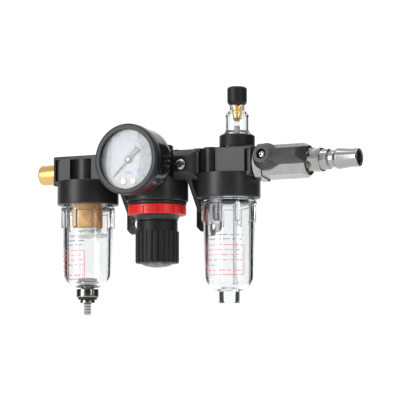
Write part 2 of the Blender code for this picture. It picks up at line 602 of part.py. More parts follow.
def make_wall_bracket(side, axis):
    """The spacer with its rear jaws, web and wall flange, as one casting."""
    reach = PITCH / 2 - GROOVE_IN - 0.3
    half_spacer = PITCH / 2 - HALF_BODY - GAP
    jaw_in = PITCH / 2 - GROOVE_OUT + 0.3
    name = "wall_bracket_" + side
    bracket = box(name, axis, (-half_spacer, -HALF_DEPTH, BLOCK_BOTTOM), (half_spacer, 11.0, BLOCK_TOP - 0.4))
    back = box(name + "_back", axis, (-reach, HALF_DEPTH + GAP, -5.4), (reach, 13.0, 8.3))
    join(bracket, back)
    for hand in (-1, 1):
        across = sorted((hand * jaw_in, hand * reach))
        jaw = box(name + "_jaw", axis, (across[0], GROOVE_FLOOR + GAP, -5.4), (across[1], 10.8, 8.3))
        join(bracket, jaw)
    web = [(-5.3, -8.0), (-2.3, -12.8), (6.6, -24.2), (17.9, -38.2), (20.5, -38.2), (20.5, 7.7),
           (9.0, 7.7), (9.0, -8.0)]
    join(bracket, plate(name + "_web", axis, web, 3.0, turn=(math.radians(90), 0, math.radians(90))))
    wide = 7.9
    flange = [(-wide, 10.0), (wide, 10.0), (wide, -36.6), (wide - 3.0, -39.6), (3.0 - wide, -39.6),
              (-wide, -36.6)]
    hole = arc(3.4, 0, 337.5, 15, (0, WALL_HOLE_Z))
    wall = plate(name + "_flange", axis, flange, 3.0, (0, 21.5, 0), TO_FRONT, [hole])
    join(bracket, wall)
    cut(bracket, rod(name + "_screw_run", axis, 4.6, (0, 6.0, WALL_HOLE_Z), (0, 20.6, WALL_HOLE_Z)))
    ends = half_spacer + 1.0
    cut(bracket, rod(name + "_bore", axis, 5.7, (-ends, 0, 0), (ends, 0, 0)))
    for hand in (-1, 1):
        face = hand * (half_spacer - 1.4)
        cut(bracket, rod(name + "_lip_seat", axis, 9.0, (face, 0, 0), (hand * ends, 0, 0)))
    cut(bracket, rod(name + "_screw_hole", axis, 2.1, (0, -HALF_DEPTH - 1, 0), (0, -6.5, 0), SMALL))
    finish(bracket, BLACK)
    lip = half_spacer - 0.05
    seal = [(4.8, lip), (8.7, lip), (8.7, lip - 1.0), (5.4, lip - 1.0), (5.4, 1.0 - lip),
            (8.7, 1.0 - lip), (8.7, -lip), (4.8, -lip)]
    finish(turned("port_seal_" + side, axis, seal, MEDIUM, True, turn=ALONG_X), RUBBER)


def make_clamp(side, axis):
    name = "clamp_" + side
    front = add_empty(name + "_front", (0, 0, 0.6), TO_FRONT, axis)
    base = HALF_DEPTH + GAP
    clamp = tapered_box(name, front, (-9.3, -9.2, base), (9.3, 9.2, 16.0), (3.9, 3.9, 4.1, 4.1))
    jaw_in = PITCH / 2 - GROOVE_OUT + 0.3
    for hand in (-1, 1):
        across = sorted((hand * jaw_in, hand * (PITCH / 2 - GROOVE_IN - 0.3)))
        low = (across[0], -6.0, GROOVE_FLOOR + GAP)
        join(clamp, box(name + "_jaw", front, low, (across[1], 7.7, base + 1.0)))
        centre = hand * PITCH / 2
        relief_top = (centre, 0, COLLAR_TOP + GAP)
        relief = rod(name + "_relief", axis, COLLAR_R + 0.5, relief_top, (centre, 0, -12.0), LARGE)
        cut(clamp, relief)
    cut(clamp, rod(name + "_hole", axis, 2.3, (0, -17.0, 0), (0, -9.0, 0), SMALL))
    finish(clamp, BLACK)
    head = [(0, 18.4), (2.2, 18.4), (3.4, 17.4), (3.4, 16.3), (1.8, 16.3), (1.8, 6.9), (0, 6.9)]
    screw = turned("clamp_screw_" + side, axis, head, SMALL, turn=TO_FRONT)
    cross_recess(screw, axis, name, 18.6, 17.2, 3.2, 0.8)
    finish(screw, NICKEL)


def cross_recess(screw, axis, name, top, floor, length, width):
    """A cross recess in a screw head that faces the front."""
    front = add_empty(name + "_recess", (0, 0, 0), TO_FRONT, axis)
    for label, across, up in (("across", length, width), ("upright", width, length)):
        low = (-across / 2, -up / 2, floor)
        high = (across / 2, up / 2, top)
        cut(screw, box("%s_recess_%s" % (name, label), front, low, high))


# Inlet nipple, ball valve and hose plug

def make_nipple(ports):
    start = -PITCH - HALF_BODY + PORT_DEPTH - 1.0
    profile = [(4.6, start), (6.2, start), (THREAD_R, start - 0.5), (THREAD_R, NIPPLE_END + 0.6),
               (6.1, NIPPLE_END), (4.6, NIPPLE_END)]
    finish(turned("inlet_nipple", ports, profile, MEDIUM, True), BRASS)


def hexagonal_bar(name, parent, flats, low, high):
    """A bar along the parent's axis with flats facing front and back."""
    bar = rod(name, parent, flats / math.sqrt(3), (0, 0, low), (0, 0, high), 6)
    bar.rotation_euler.z = math.radians(30.0)
    return bar


def make_ball_valve(valve):
    """Everything here is measured along the flow from the stem axis."""
    flow = add_empty("valve_flow", (0, 0, 0), ALONG_X, valve)
    left_face = -5.5
    right_face = 23.8
    end = hexagonal_bar("valve_end", flow, 21.6, -11.0, left_face - GAP)
    join(end, rod("valve_spigot", flow, THREAD_R, (0, 0, -20.0), (0, 0, -10.5)))
    join(end, rod("valve_insert", flow, 8.2, (0, 0, left_face - 1.0), (0, 0, left_face + 1.1)))
    cut(end, rod("valve_end_bore", flow, 4.2, (0, 0, -21.0), (0, 0, 0)))
    cut(end, rod("ball_relief", flow, 4.3, (0, 0, left_face - 1.2), (0, 0, left_face + 1.3),
                 end_radius=6.6))
    finish(end, NICKEL)
    body = hexagonal_bar("valve_body", flow, VALVE_FLATS, left_face, right_face)
    join(body, rod("stem_boss", valve, 5.4, (0, -8.9, 0), (0, -12.1, 0)))
    cut(body, rod("ball_cavity", flow, 8.5, (0, 0, left_face - 1.0), (0, 0, 7.7)))
    cut(body, rod("valve_passage", flow, 4.2, (0, 0, 7.0), (0, 0, 12.0)))
    cut(body, rod("valve_outlet", flow, PORT_R, (0, 0, 11.0), (0, 0, right_face + 1.0)))
    cut(body, rod("stem_hole", valve, 2.5, (0, -7.0, 0), (0, -13.0, 0), SMALL))
    chamfer = [(14.0, right_face + 0.5), (14.0, right_face - 2.2), (11.4, right_face - 2.2),
               (9.2, right_face + 0.5)]
    cut(body, turned("valve_chamfer", flow, chamfer, LARGE, True))
    finish(body, NICKEL)


def make_valve_ball(valve):
    bm = bmesh.new()
    bmesh.ops.create_uvsphere(bm, u_segments=MEDIUM, v_segments=8, radius=BALL_R * MM)
    ball = add_object("valve_ball", mesh_from("valve_ball", bm), valve)
    cut(ball, rod("ball_bore", valve, 4.1, (-9, 0, 0), (9, 0, 0)))
    cut(ball, box("ball_slot", valve, (-3.2, -8.0, -1.2), (3.2, -5.3, 1.2)))
    finish(ball, STEEL)
    profile = [(0, 16.4), (2.1, 16.4), (2.1, 7.65), (2.9, 7.65), (2.9, 7.15), (0, 7.15)]
    stem = turned("valve_stem", valve, profile, MEDIUM, turn=TO_FRONT)
    join(stem, box("stem_tang", valve, (-2.8, -7.6, -0.9), (2.8, -5.7, 0.9)))
    cut(stem, rod("stem_thread", valve, 1.5, (0, -17.0, 0), (0, -12.8, 0), SMALL))
    finish(stem, STEEL)


def make_lever(valve):
    front = add_empty("lever_axis", (0, 0, 0), TO_FRONT, valve)
    hub = [(0, LEVER_FRONT), (5.6, LEVER_FRONT), (6.0, LEVER_FRONT - 0.4), (6.0, 17.6), (8.6, 14.6),
           (8.6, 11.3), (0, 11.3)]
    lever = turned("valve_lever", front, hub, MEDIUM)
    arm = tapered_box("lever_arm", front, (-1.0, -5.6, 13.5), (27.6, 5.6, LEVER_FRONT - 0.05),
                      (0.0, 4.0, 2.6, 2.6))
    join(lever, arm)
    cut(lever, rod("lever_hollow", front, 6.1, (0, 0, 10.0), (0, 0, 12.5)))
    cut(lever, rod("lever_stem_hole", front, 2.4, (0, 0, 12.0), (0, 0, 16.7), SMALL))
    cut(lever, rod("lever_screw_hole", front, 1.6, (0, 0, 16.0), (0, 0, 18.5), SMALL))
    cut(lever, rod("lever_recess", front, 3.3, (0, 0, 17.9), (0, 0, 22.0)))
    finish(lever, KNOB_BLACK)
    head = [(0, 20.3), (1.7, 20.3), (2.7, 19.4), (2.7, 18.2), (1.2, 18.2), (1.2, 13.2), (0, 13.2)]
    screw = turned("lever_screw", valve, head, SMALL, turn=TO_FRONT)
    cross_recess(screw, valve, "lever_screw", 20.5, 19.2, 2.7, 0.7)
    finish(screw, NICKEL)


def make_quick_plug(ports):
    shoulder = STEM_X + 23.8 + 0.7
    hexagon_end = shoulder + 8.2
    turned_part = [(3.9, PLUG_TIP), (5.4, PLUG_TIP), (5.8, PLUG_TIP - 0.5), (5.6, PLUG_TIP - 4.5),
                   (6.55, 127.6), (6.1, 126.2), (5.2, 125.6), (5.4, 125.2), (5.4, 122.2), (5.0, 121.9),
                   (6.45, 121.4), (6.45, 116.2), (6.2, 115.0), (6.2, shoulder - 0.2),
                   (THREAD_R, shoulder - 0.6), (THREAD_R, 98.4), (6.1, 97.9), (3.9, 97.9)]
    plug = turned("quick_plug", ports, turned_part, MEDIUM, True)
    ring = hexagonal_bar("plug_hexagon", ports, 14.3, shoulder, hexagon_end)
    cut(ring, rod("plug_core", ports, 4.5, (0, 0, shoulder - 1), (0, 0, hexagon_end + 1)))
    join(plug, ring)
    finish(plug, NICKEL)


def build():
    filter_axis = add_empty("filter_axis", (-PITCH, AXIS_Y, 0))
    regulator_axis = add_empty("regulator_axis", (0, AXIS_Y, 0))
    lubricator_axis = add_empty("lubricator_axis", (PITCH, AXIS_Y, 0))
    gauge_axis = add_empty("gauge_axis", (0, AXIS_Y, GAUGE_Z), TO_FRONT)
    ports = add_empty("port_axis", (0, AXIS_Y, 0), ALONG_X)
    valve_axis = add_empty("valve_axis", (STEM_X, AXIS_Y, 0), (VALVE_TILT, 0, 0))

    make_filter_body(filter_axis)
    make_filter_insides(filter_axis)
    make_filter_bowl(filter_axis)
    make_drain(filter_axis)
    make_regulator_body(regulator_axis)
    make_valve_train(regulator_axis)
    make_diaphragm(regulator_axis)
    make_bonnet(regulator_axis)
    make_adjuster(regulator_axis)
    make_gauge_housing(gauge_axis)
    make_gauge_works(gauge_axis)
    make_pointer(gauge_axis)
    make_lubricator_body(lubricator_axis)
    make_lubricator_bowl(lubricator_axis)
    make_oil_feed(lubricator_axis)
    make_sight_dome(lubricator_axis)
    for side, x in (("left", -PITCH / 2), ("right", PITCH / 2)):
        joint_axis = add_empty("joint_axis_" + side, (x, AXIS_Y, 0))
        make_wall_bracket(side, joint_axis)
        make_clamp(side, joint_axis)
    make_nipple(ports)
    make_ball_valve(valve_axis)
    make_valve_ball(valve_axis)
    make_lever(valve_axis)
    make_quick_plug(ports)


build()
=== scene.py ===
import json
import math
import random

import bmesh
import bpy
from mathutils import Matrix, Vector


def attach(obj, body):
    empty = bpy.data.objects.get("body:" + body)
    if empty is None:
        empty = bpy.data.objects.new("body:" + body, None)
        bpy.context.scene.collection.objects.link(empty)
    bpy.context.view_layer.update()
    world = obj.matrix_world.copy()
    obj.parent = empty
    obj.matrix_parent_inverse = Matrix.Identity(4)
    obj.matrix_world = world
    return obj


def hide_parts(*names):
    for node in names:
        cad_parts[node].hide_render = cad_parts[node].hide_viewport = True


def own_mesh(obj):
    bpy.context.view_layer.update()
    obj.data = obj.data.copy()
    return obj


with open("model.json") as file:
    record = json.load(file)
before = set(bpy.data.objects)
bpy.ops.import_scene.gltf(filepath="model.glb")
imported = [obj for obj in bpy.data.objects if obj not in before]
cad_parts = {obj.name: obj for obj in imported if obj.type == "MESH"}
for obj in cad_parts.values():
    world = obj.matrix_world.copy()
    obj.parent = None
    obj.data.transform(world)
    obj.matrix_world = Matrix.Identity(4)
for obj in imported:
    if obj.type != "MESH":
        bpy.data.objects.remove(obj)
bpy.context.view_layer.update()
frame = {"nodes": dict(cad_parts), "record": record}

MM = 0.001
NODES = frame["nodes"]
FINE = 96                     # sides of a large turned piece
COARSE = 48                   # sides of a small one

PITCH = 51.6                  # between two module axes
AXIS_Y = -23.0                # of all three modules; the wall is at zero
BOWL_RADIUS = 15.75           # outside a bowl, above its rounded foot
BOWL_BEND = 9.5               # of the rounded foot
BOWL_SHOULDER = -25.5         # height where the grip ring ends
FILTER_BOTTOM = -75.4
LUBRICATOR_BOTTOM = -80.2
DIAL_FACE = 37.4              # heights along the gauge axis
DIAL_INK_LOW = 37.42
DIAL_INK_HIGH = 37.47
DIAL_START = 225.0            # angle of the first mark
DIAL_MARKS = 51
DIAL_STEP = 5.4               # degrees between two marks


def at(x, y, z):
    return Matrix.Translation(Vector((x, y, z)) * MM)


FRONT = Matrix.Rotation(math.radians(90.0), 4, "X")    # local Z towards the viewer
FLOW = Matrix.Rotation(math.radians(90.0), 4, "Y")     # local Z along the air flow
TILT = Matrix.Rotation(math.radians(-9.0), 4, "X")     # the valve is screwed in 9 degrees off square
FILTER = at(-PITCH, AXIS_Y, 0)
REGULATOR = at(0, AXIS_Y, 0)
LUBRICATOR = at(PITCH, AXIS_Y, 0)
DOME = at(PITCH + 5.8, AXIS_Y, 0)
FILLER = (-10.3, -4.4)
GAUGE = at(0, AXIS_Y, 2.3) @ FRONT
PORTS = at(0, AXIS_Y, 0) @ FLOW
VALVE = at(84, AXIS_Y, 0) @ TILT
VALVE_FRONT = VALVE @ FRONT
VALVE_FLOW = VALVE @ FLOW


# Camera, stage and light

def make_camera():
    azimuth = math.radians(27.47)
    elevation = math.radians(-5.58)
    distance = 1367.65
    target = Vector((30.92, -23.0, -21.39))
    back = Vector((math.sin(azimuth) * math.cos(elevation), -math.cos(azimuth) * math.cos(elevation),
                   math.sin(elevation)))
    data = bpy.data.cameras.new("camera")
    data.sensor_width = 36.0
    data.lens = 193.4
    data.clip_end = 20.0
    camera = bpy.data.objects.new("camera", data)
    camera.rotation_mode = "QUATERNION"
    camera.location = (target + back * distance) * MM
    camera.rotation_quaternion = (-back).to_track_quat("-Z", "Y")
    bpy.context.scene.collection.objects.link(camera)
    bpy.context.scene.camera = camera


def area_light(name, place, aim, width, height, power, colour=(1.0, 1.0, 1.0)):
    data = bpy.data.lights.new(name, "AREA")
    data.shape = "RECTANGLE"
    data.size = width
    data.size_y = height
    data.energy = power
    data.color = colour
    light = bpy.data.objects.new(name, data)
    light.location = place
    light.rotation_mode = "QUATERNION"
    light.rotation_quaternion = (Vector(aim) - Vector(place)).to_track_quat("-Z", "Y")
    bpy.context.scene.collection.objects.link(light)


def make_floor():
    """A pale sheet that lies flat and bends up into the backdrop."""
    floor_z = -0.45
    bend = 0.8
    reach = 4.0
    far = 1.6
    path = [(-reach, floor_z), (far, floor_z)]
    for i in range(1, 13):
        angle = math.radians(90.0 * i / 12)
        path.append((far + bend * math.sin(angle), floor_z + bend * (1.0 - math.cos(angle))))
    path.append((far + bend, 4.5))
    bm = bmesh.new()
    rows = []
    for y, z in path:
        rows.append([bm.verts.new((-reach, y, z)), bm.verts.new((reach, y, z))])
    for near, beyond in zip(rows, rows[1:]):
        bm.faces.new((near[0], near[1], beyond[1], beyond[0]))
    mesh = bpy.data.meshes.new("floor")
    bm.to_mesh(mesh)
    bm.free()
    for polygon in mesh.polygons:
        polygon.use_smooth = True
    paper = surface("studio_paper", (0.30, 0.30, 0.30), 0.95, grain=40.0, mottle=0.02, bump=0.0002,
                    specular=0.0)
    shader = paper.node_tree.nodes["Principled BSDF"]
    shader.inputs["Emission Color"].default_value = (1.0, 1.0, 1.0, 1.0)
    shader.inputs["Emission Strength"].default_value = 0.80
    mesh.materials.append(paper)
    floor = bpy.data.objects.new("floor", mesh)
    bpy.context.scene.collection.objects.link(floor)


def make_studio():
    world = bpy.data.worlds.new("studio")
    world.use_nodes = True
    background = world.node_tree.nodes["Background"]
    background.inputs["Color"].default_value = (1.0, 1.0, 1.0, 1.0)
    background.inputs["Strength"].default_value = 0.75
    bpy.context.scene.world = world
    bpy.context.scene.view_settings.view_transform = "Standard"
    make_floor()
    area_light("key", (-0.68, -1.34, 0.25), (0, 0, 0), 0.55, 1.2, 9)
    area_light("side", (1.5, -0.7, 0.4), (0.05, 0, 0), 0.12, 1.2, 3)
    area_light("top", (0.1, -0.2, 1.5), (0, 0, 0), 1.2, 0.5, 5)
    card("card_front", 0, 168, -0.40, 1.3, 1.9, glossy=True)
    card("card_left", -100, -48, -0.40, 1.3, 1.9, glossy=True)
    card("card_behind_left", 230, 262, -0.44, 0.9, 1.1, transmission=True)
    card("card_behind_right", 153, 185, -0.44, 0.9, 1.1, transmission=True)


def card(name, start, end, low, high, radius, glossy=False, transmission=False):
    """A dark curved card that only shows as a reflection in gloss, or through clear plastic."""
    bm = bmesh.new()
    count = 12
    rows = []
    for i in range(count + 1):
        azimuth = math.radians(start + (end - start) * i / count)
        x = radius * math.sin(azimuth)
        y = -radius * math.cos(azimuth)
        rows.append([bm.verts.new((x, y, low)), bm.verts.new((x, y, high))])
    for a, b in zip(rows, rows[1:]):
        bm.faces.new((a[0], b[0], b[1], a[1]))
    mesh = bpy.data.meshes.new(name)
    bm.to_mesh(mesh)
    bm.free()
    mesh.materials.append(surface("dark_card", (0.02, 0.02, 0.02), 0.9, grain=60.0, specular=0.0))
    made = bpy.data.objects.new(name, mesh)
    made.visible_camera = False
    made.visible_diffuse = False
    made.visible_shadow = False
    made.visible_glossy = glossy
    made.visible_transmission = transmission
    bpy.context.scene.collection.objects.link(made)


# Materials

def surface(name, colour, roughness, metallic=0.0, grain=900.0, mottle=0.12, uneven=0.08, bump=0.00002,
            bump_scale=None, stretch=(1.0, 1.0, 1.0), coat=0.0, specular=0.5, transmission=0.0, ior=1.5,
            cells=False):
    """A surface whose colour, roughness and relief all vary over the object."""
    name = "fine_" + name
    found = bpy.data.materials.get(name)
    if found:
        return found
    made = bpy.data.materials.new(name)
    made.use_nodes = True
    nodes = made.node_tree.nodes
    links = made.node_tree.links
    shader = nodes["Principled BSDF"]
    shader.inputs["Metallic"].default_value = metallic
    shader.inputs["IOR"].default_value = ior
    shader.inputs["Specular IOR Level"].default_value = specular
    shader.inputs["Coat Weight"].default_value = coat
    shader.inputs["Coat Roughness"].default_value = 0.08
    shader.inputs["Transmission Weight"].default_value = transmission
    place = nodes.new("ShaderNodeTexCoord")
    mapping = nodes.new("ShaderNodeMapping")
    mapping.inputs["Scale"].default_value = stretch
    links.new(place.outputs["Object"], mapping.inputs["Vector"])
    broad = nodes.new("ShaderNodeTexNoise")
    broad.inputs["Scale"].default_value = grain * 0.12
    broad.inputs["Detail"].default_value = 4.0
    links.new(mapping.outputs["Vector"], broad.inputs["Vector"])
    ramp = nodes.new("ShaderNodeValToRGB")
    ramp.color_ramp.elements[0].position = 0.3
    ramp.color_ramp.elements[1].position = 0.7
    dark = [max(0.0, c * (1.0 - mottle)) for c in colour]
    light = [min(1.0, c * (1.0 + mottle)) for c in colour]
    ramp.color_ramp.elements[0].color = (*dark, 1.0)
    ramp.color_ramp.elements[1].color = (*light, 1.0)
    links.new(broad.outputs["Fac"], ramp.inputs["Fac"])
    links.new(ramp.outputs["Color"], shader.inputs["Base Color"])
    gloss = nodes.new("ShaderNodeMapRange")
    gloss.inputs["To Min"].default_value = max(0.0, roughness - uneven)
    gloss.inputs["To Max"].default_value = min(1.0, roughness + uneven)
    fine = nodes.new("ShaderNodeTexVoronoi" if cells else "ShaderNodeTexNoise")
    fine.inputs["Scale"].default_value = bump_scale or grain
    links.new(mapping.outputs["Vector"], fine.inputs["Vector"])
    height = fine.outputs["Distance" if cells else "Fac"]
    links.new(height, gloss.inputs["Value"])
    links.new(gloss.outputs["Result"], shader.inputs["Roughness"])
    relief = nodes.new("ShaderNodeBump")
    relief.inputs["Distance"].default_value = bump
    relief.inputs["Strength"].default_value = 1.0
    links.new(height, relief.inputs["Height"])
    links.new(relief.outputs["Normal"], shader.inputs["Normal"])
    return made


def casting():
    return surface("satin_black_casting", (0.014, 0.014, 0.015), 0.36, grain=1600, mottle=0.25, bump=0.00003)


def knob_plastic():
    return surface("black_knob_plastic", (0.010, 0.010, 0.0105), 0.46, grain=1400, mottle=0.2, specular=0.35)


def lever_vinyl():
    return surface("black_lever_vinyl", (0.030, 0.030, 0.031), 0.40, grain=1100, mottle=0.2, specular=0.6)


def gauge_paint():
    return surface("gauge_gloss_black", (0.006, 0.006, 0.007), 0.12, grain=500, mottle=0.2, uneven=0.03,
                   bump=0.000003, coat=0.4)


def bezel_paint():
    return surface("gauge_bezel_black", (0.012, 0.013, 0.015), 0.32, grain=700, mottle=0.2, uneven=0.05,
                   bump=0.00001, specular=0.4)


def red_plastic():
    return surface("red_nut_plastic", (0.74, 0.012, 0.010), 0.33, grain=800, mottle=0.08, coat=0.15)


def clear_plastic():
    return surface("clear_polycarbonate", (0.93, 0.945, 0.95), 0.015, grain=300, mottle=0.01, uneven=0.012,
                   bump=0.000003, transmission=1.0, ior=1.5)


def thin_tubing():
    return surface("thin_tubing", (0.86, 0.87, 0.88), 0.08, grain=500, mottle=0.02, uneven=0.02,
                   bump=0.000003, transmission=1.0, ior=1.16)


def frosted_plastic():
    return surface("clouded_plastic", (0.40, 0.42, 0.45), 0.3, grain=500, mottle=0.06, transmission=0.35)


def gauge_glass():
    return surface("gauge_glass", (0.98, 0.99, 0.99), 0.02, grain=300, mottle=0.01, uneven=0.01,
                   bump=0.000001, specular=0.05, transmission=1.0, ior=1.4)


def rubber():
    return surface("black_rubber", (0.012, 0.012, 0.012), 0.62, grain=1500, mottle=0.3)


def white_plastic():
    return surface("white_plastic", (0.80, 0.80, 0.77), 0.38, grain=900, mottle=0.04)


def sinter():
    return surface("sintered_grains", (0.62, 0.35, 0.14), 0.8, grain=1900, mottle=0.3, bump=0.00012,
                   bump_scale=2600, cells=True)


def nickel():
    return surface("nickel_plate", (0.37, 0.368, 0.36), 0.20, metallic=1.0, grain=1300, mottle=0.06,
                   uneven=0.07, bump=0.000006)


def brass():
    return surface("brass", (0.58, 0.46, 0.26), 0.28, metallic=1.0, grain=1500, mottle=0.10, bump=0.000008)


def turned_brass():
    return surface("turned_brass", (0.70, 0.47, 0.17), 0.26, metallic=1.0, grain=1500, mottle=0.08,
                   bump=0.000012, stretch=(4.0, 0.3, 0.3))


def steel():
    return surface("plain_steel", (0.52, 0.52, 0.53), 0.3, metallic=1.0, grain=1200, mottle=0.1)


def dial_enamel():
    return surface("dial_enamel", (0.40, 0.415, 0.435), 0.45, grain=600, mottle=0.02, specular=0.1)


def pointer_metal():
    return surface("pointer_grey", (0.10, 0.10, 0.103), 0.42, metallic=0.3, grain=900, mottle=0.08)


def ink(name, colour):
    return surface(name, colour, 0.55, grain=1500, mottle=0.15)


# Shapes in mesh code; every length is in millimetres

def soften(points, radius, closed=False, steps=3):
    """Round the corners of a line of (radius, height) or (x, y) points."""
    points = [Vector(p) for p in points]
    count = len(points)
    made = []
    for i, corner in enumerate(points):
        if not closed and i in (0, count - 1):
            made.append(corner)
            continue
        before = points[i - 1] - corner
        after = points[(i + 1) % count] - corner
        if before.length < 1e-6 or after.length < 1e-6:
            made.append(corner)
            continue
        bend = math.pi - before.angle(after)
        if bend < math.radians(18.0) or corner.x < 1e-6:
            made.append(corner)
            continue
        reach = min(radius, before.length * 0.45, after.length * 0.45)
        start = corner + before.normalized() * reach
        end = corner + after.normalized() * reach
        for k in range(steps + 1):
            t = k / steps
            made.append(start * (1 - t) ** 2 + corner * 2 * t * (1 - t) + end * t ** 2)
    return [(p.x, p.y) for p in made]


def arc(radius, start, end, steps, centre=(0.0, 0.0)):
    points = []
    for i in range(steps + 1):
        angle = math.radians(start + (end - start) * i / steps)
        points.append((centre[0] + radius * math.cos(angle), centre[1] + radius * math.sin(angle)))
    return points


def lathe(profile, closed=False, sides=FINE, shape=None):
    """Turn a profile about Z. shape(angle, r, z) may change the radius round the turn."""
    bm = bmesh.new()
    rings = []
    for r, z in profile:
        if r < 1e-4:
            rings.append([bm.verts.new((0, 0, z * MM))])
            continue
        ring = []
        for i in range(sides):
            angle = math.tau * i / sides
            reach = shape(angle, r, z) if shape else r
            ring.append(bm.verts.new((reach * math.cos(angle) * MM, reach * math.sin(angle) * MM, z * MM)))
        rings.append(ring)
    pairs = list(zip(rings, rings[1:]))
    if closed:
        pairs.append((rings[-1], rings[0]))
    for a, b in pairs:
        for i in range(sides):
            j = (i + 1) % sides
            if len(a) == 1 and len(b) == 1:
                break
            if len(a) == 1:
                bm.faces.new((a[0], b[i], b[j]))
            elif len(b) == 1:
                bm.faces.new((a[i], b[0], a[j]))
            else:
                bm.faces.new((a[i], b[i], b[j], a[j]))
    bmesh.ops.recalc_face_normals(bm, faces=bm.faces)
    return bm


def prism(outline, low, high, edge=0.0):
    """Extrude an outline along Z, with its end edges rounded over."""
    bm = bmesh.new()
    bottom = [bm.verts.new((x * MM, y * MM, low * MM)) for x, y in outline]
    top = [bm.verts.new((x * MM, y * MM, high * MM)) for x, y in outline]
    ends = [bm.faces.new(bottom), bm.faces.new(top)]
    for i in range(len(outline)):
        j = (i + 1) % len(outline)
        bm.faces.new((bottom[i], bottom[j], top[j], top[i]))
    bmesh.ops.recalc_face_normals(bm, faces=bm.faces)
    if edge:
        rims = list({e for face in ends for e in face.edges})
        bmesh.ops.bevel(bm, geom=rims, offset=edge * MM, segments=3, affect="EDGES", profile=0.5,
                        clamp_overlap=True)
    return bm


def box(low, high, edge=0.0, steps=3):
    bm = bmesh.new()
    low = Vector(low) * MM
    high = Vector(high) * MM
    size = high - low
    place = Matrix.Translation((low + high) / 2) @ Matrix.Diagonal((*size, 1.0))
    bmesh.ops.create_cube(bm, size=1.0, matrix=place)
    if edge:
        bmesh.ops.bevel(bm, geom=bm.edges[:], offset=edge * MM, segments=steps, affect="EDGES", profile=0.5)
    return bm


def hexagon(flats, turn=30.0):
    corner = flats / math.sqrt(3)
    return [(corner * math.cos(math.radians(60 * i + turn)), corner * math.sin(math.radians(60 * i + turn)))
            for i in range(6)]


def shaft(radius, low, high, sides=COARSE):
    return lathe([(0, high), (radius, high), (radius, low), (0, low)], sides=sides)


def solid(name, bm, matrix):
    """Put a mesh in the row frame as an object."""
    bmesh.ops.transform(bm, matrix=matrix, verts=bm.verts)
    mesh = bpy.data.meshes.new(name)
    bm.to_mesh(mesh)
    bm.free()
    obj = bpy.data.objects.new(name, mesh)
    bpy.context.scene.collection.objects.link(obj)
    return obj


TOOLS = {}


def change(obj, operation, tools):
    for bm, matrix in tools:
        tool = solid(obj.name + "_tool", bm, matrix)
        step = obj.modifiers.new(operation.lower(), "BOOLEAN")
        step.operation = operation
        step.solver = "EXACT"
        step.object = tool
        TOOLS.setdefault(obj.name, []).append(tool)


def cut(obj, *tools):
    change(obj, "DIFFERENCE", tools)


def add(obj, *tools):
    change(obj, "UNION", tools)


def ease(obj, width, steps=2, angle=40.0):
    """Round the edges that the cuts left sharp."""
    bevel = obj.modifiers.new("ease", "BEVEL")
    bevel.width = width * MM
    bevel.segments = steps
    bevel.limit_method = "ANGLE"
    bevel.angle_limit = math.radians(angle)
    bevel.use_clamp_overlap = True


def settle(obj):
    """Replace the modifiers with their result."""
    if obj.modifiers:
        depsgraph = bpy.context.evaluated_depsgraph_get()
        result = bpy.data.meshes.new_from_object(obj.evaluated_get(depsgraph))
        obj.modifiers.clear()
        obj.data = result
    for tool in TOOLS.pop(obj.name, []):
        bpy.data.objects.remove(tool, do_unlink=True)


CLEAR = ("fine_clear_polycarbonate", "fine_gauge_glass")     # light falls through these onto what is inside


def show(obj, material, body, slot, *nodes, smooth=32.0):
    """Finish a piece: material, shading, the body it rides on and the nodes it stands for."""
    settle(obj)
    mesh = obj.data
    mesh.materials.clear()
    mesh.materials.append(material)
    for polygon in mesh.polygons:
        polygon.use_smooth = True
        polygon.material_index = 0
    mesh.set_sharp_from_angle(angle=math.radians(smooth))
    if material.name in CLEAR:
        obj.visible_shadow = False
    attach(obj, body)
    if nodes:
        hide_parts(*nodes)
    return obj


# Module bodies

def module_body(name, matrix, collar_hole):
    block = solid(name, box((-20.6, -10.0, -8.6), (20.6, 10.0, 10.6), 0.7), matrix)
    collar = soften([(0, -5.7), (20.0, -5.7), (20.0, -21.4), (0, -21.4)], 0.9)
    add(block, (lathe(collar), matrix))
    for side in (-1, 1):
        for face in (-1, 1):
            across = sorted((side * 15.7, side * 19.2))
            deep = sorted((face * 7.6, face * 11.0))
            cut(block, (box((across[0], deep[0], -5.7), (across[1], deep[1], 8.6), 0.3, 2), matrix))
        cut(block, (shaft(6.9, 11.6, 21.6), matrix @ Matrix.Rotation(math.radians(90.0 * side), 4, "Y")))
    cut(block, (shaft(collar_hole, -22.0, -12.2, FINE), matrix))
    return block


def make_filter_body():
    body = module_body("filter_housing", FILTER, 15.5)
    window = box((-8.0, -11.0, -5.7), (8.0, -6.5, 8.4), 0.5)
    cut(body, (window, FILTER))
    add(body, (shaft(9.6, -6.2, 9.0, FINE), FILTER))
    ease(body, 0.2)
    show(body, casting(), "unit", "black_casting", "filter_body")


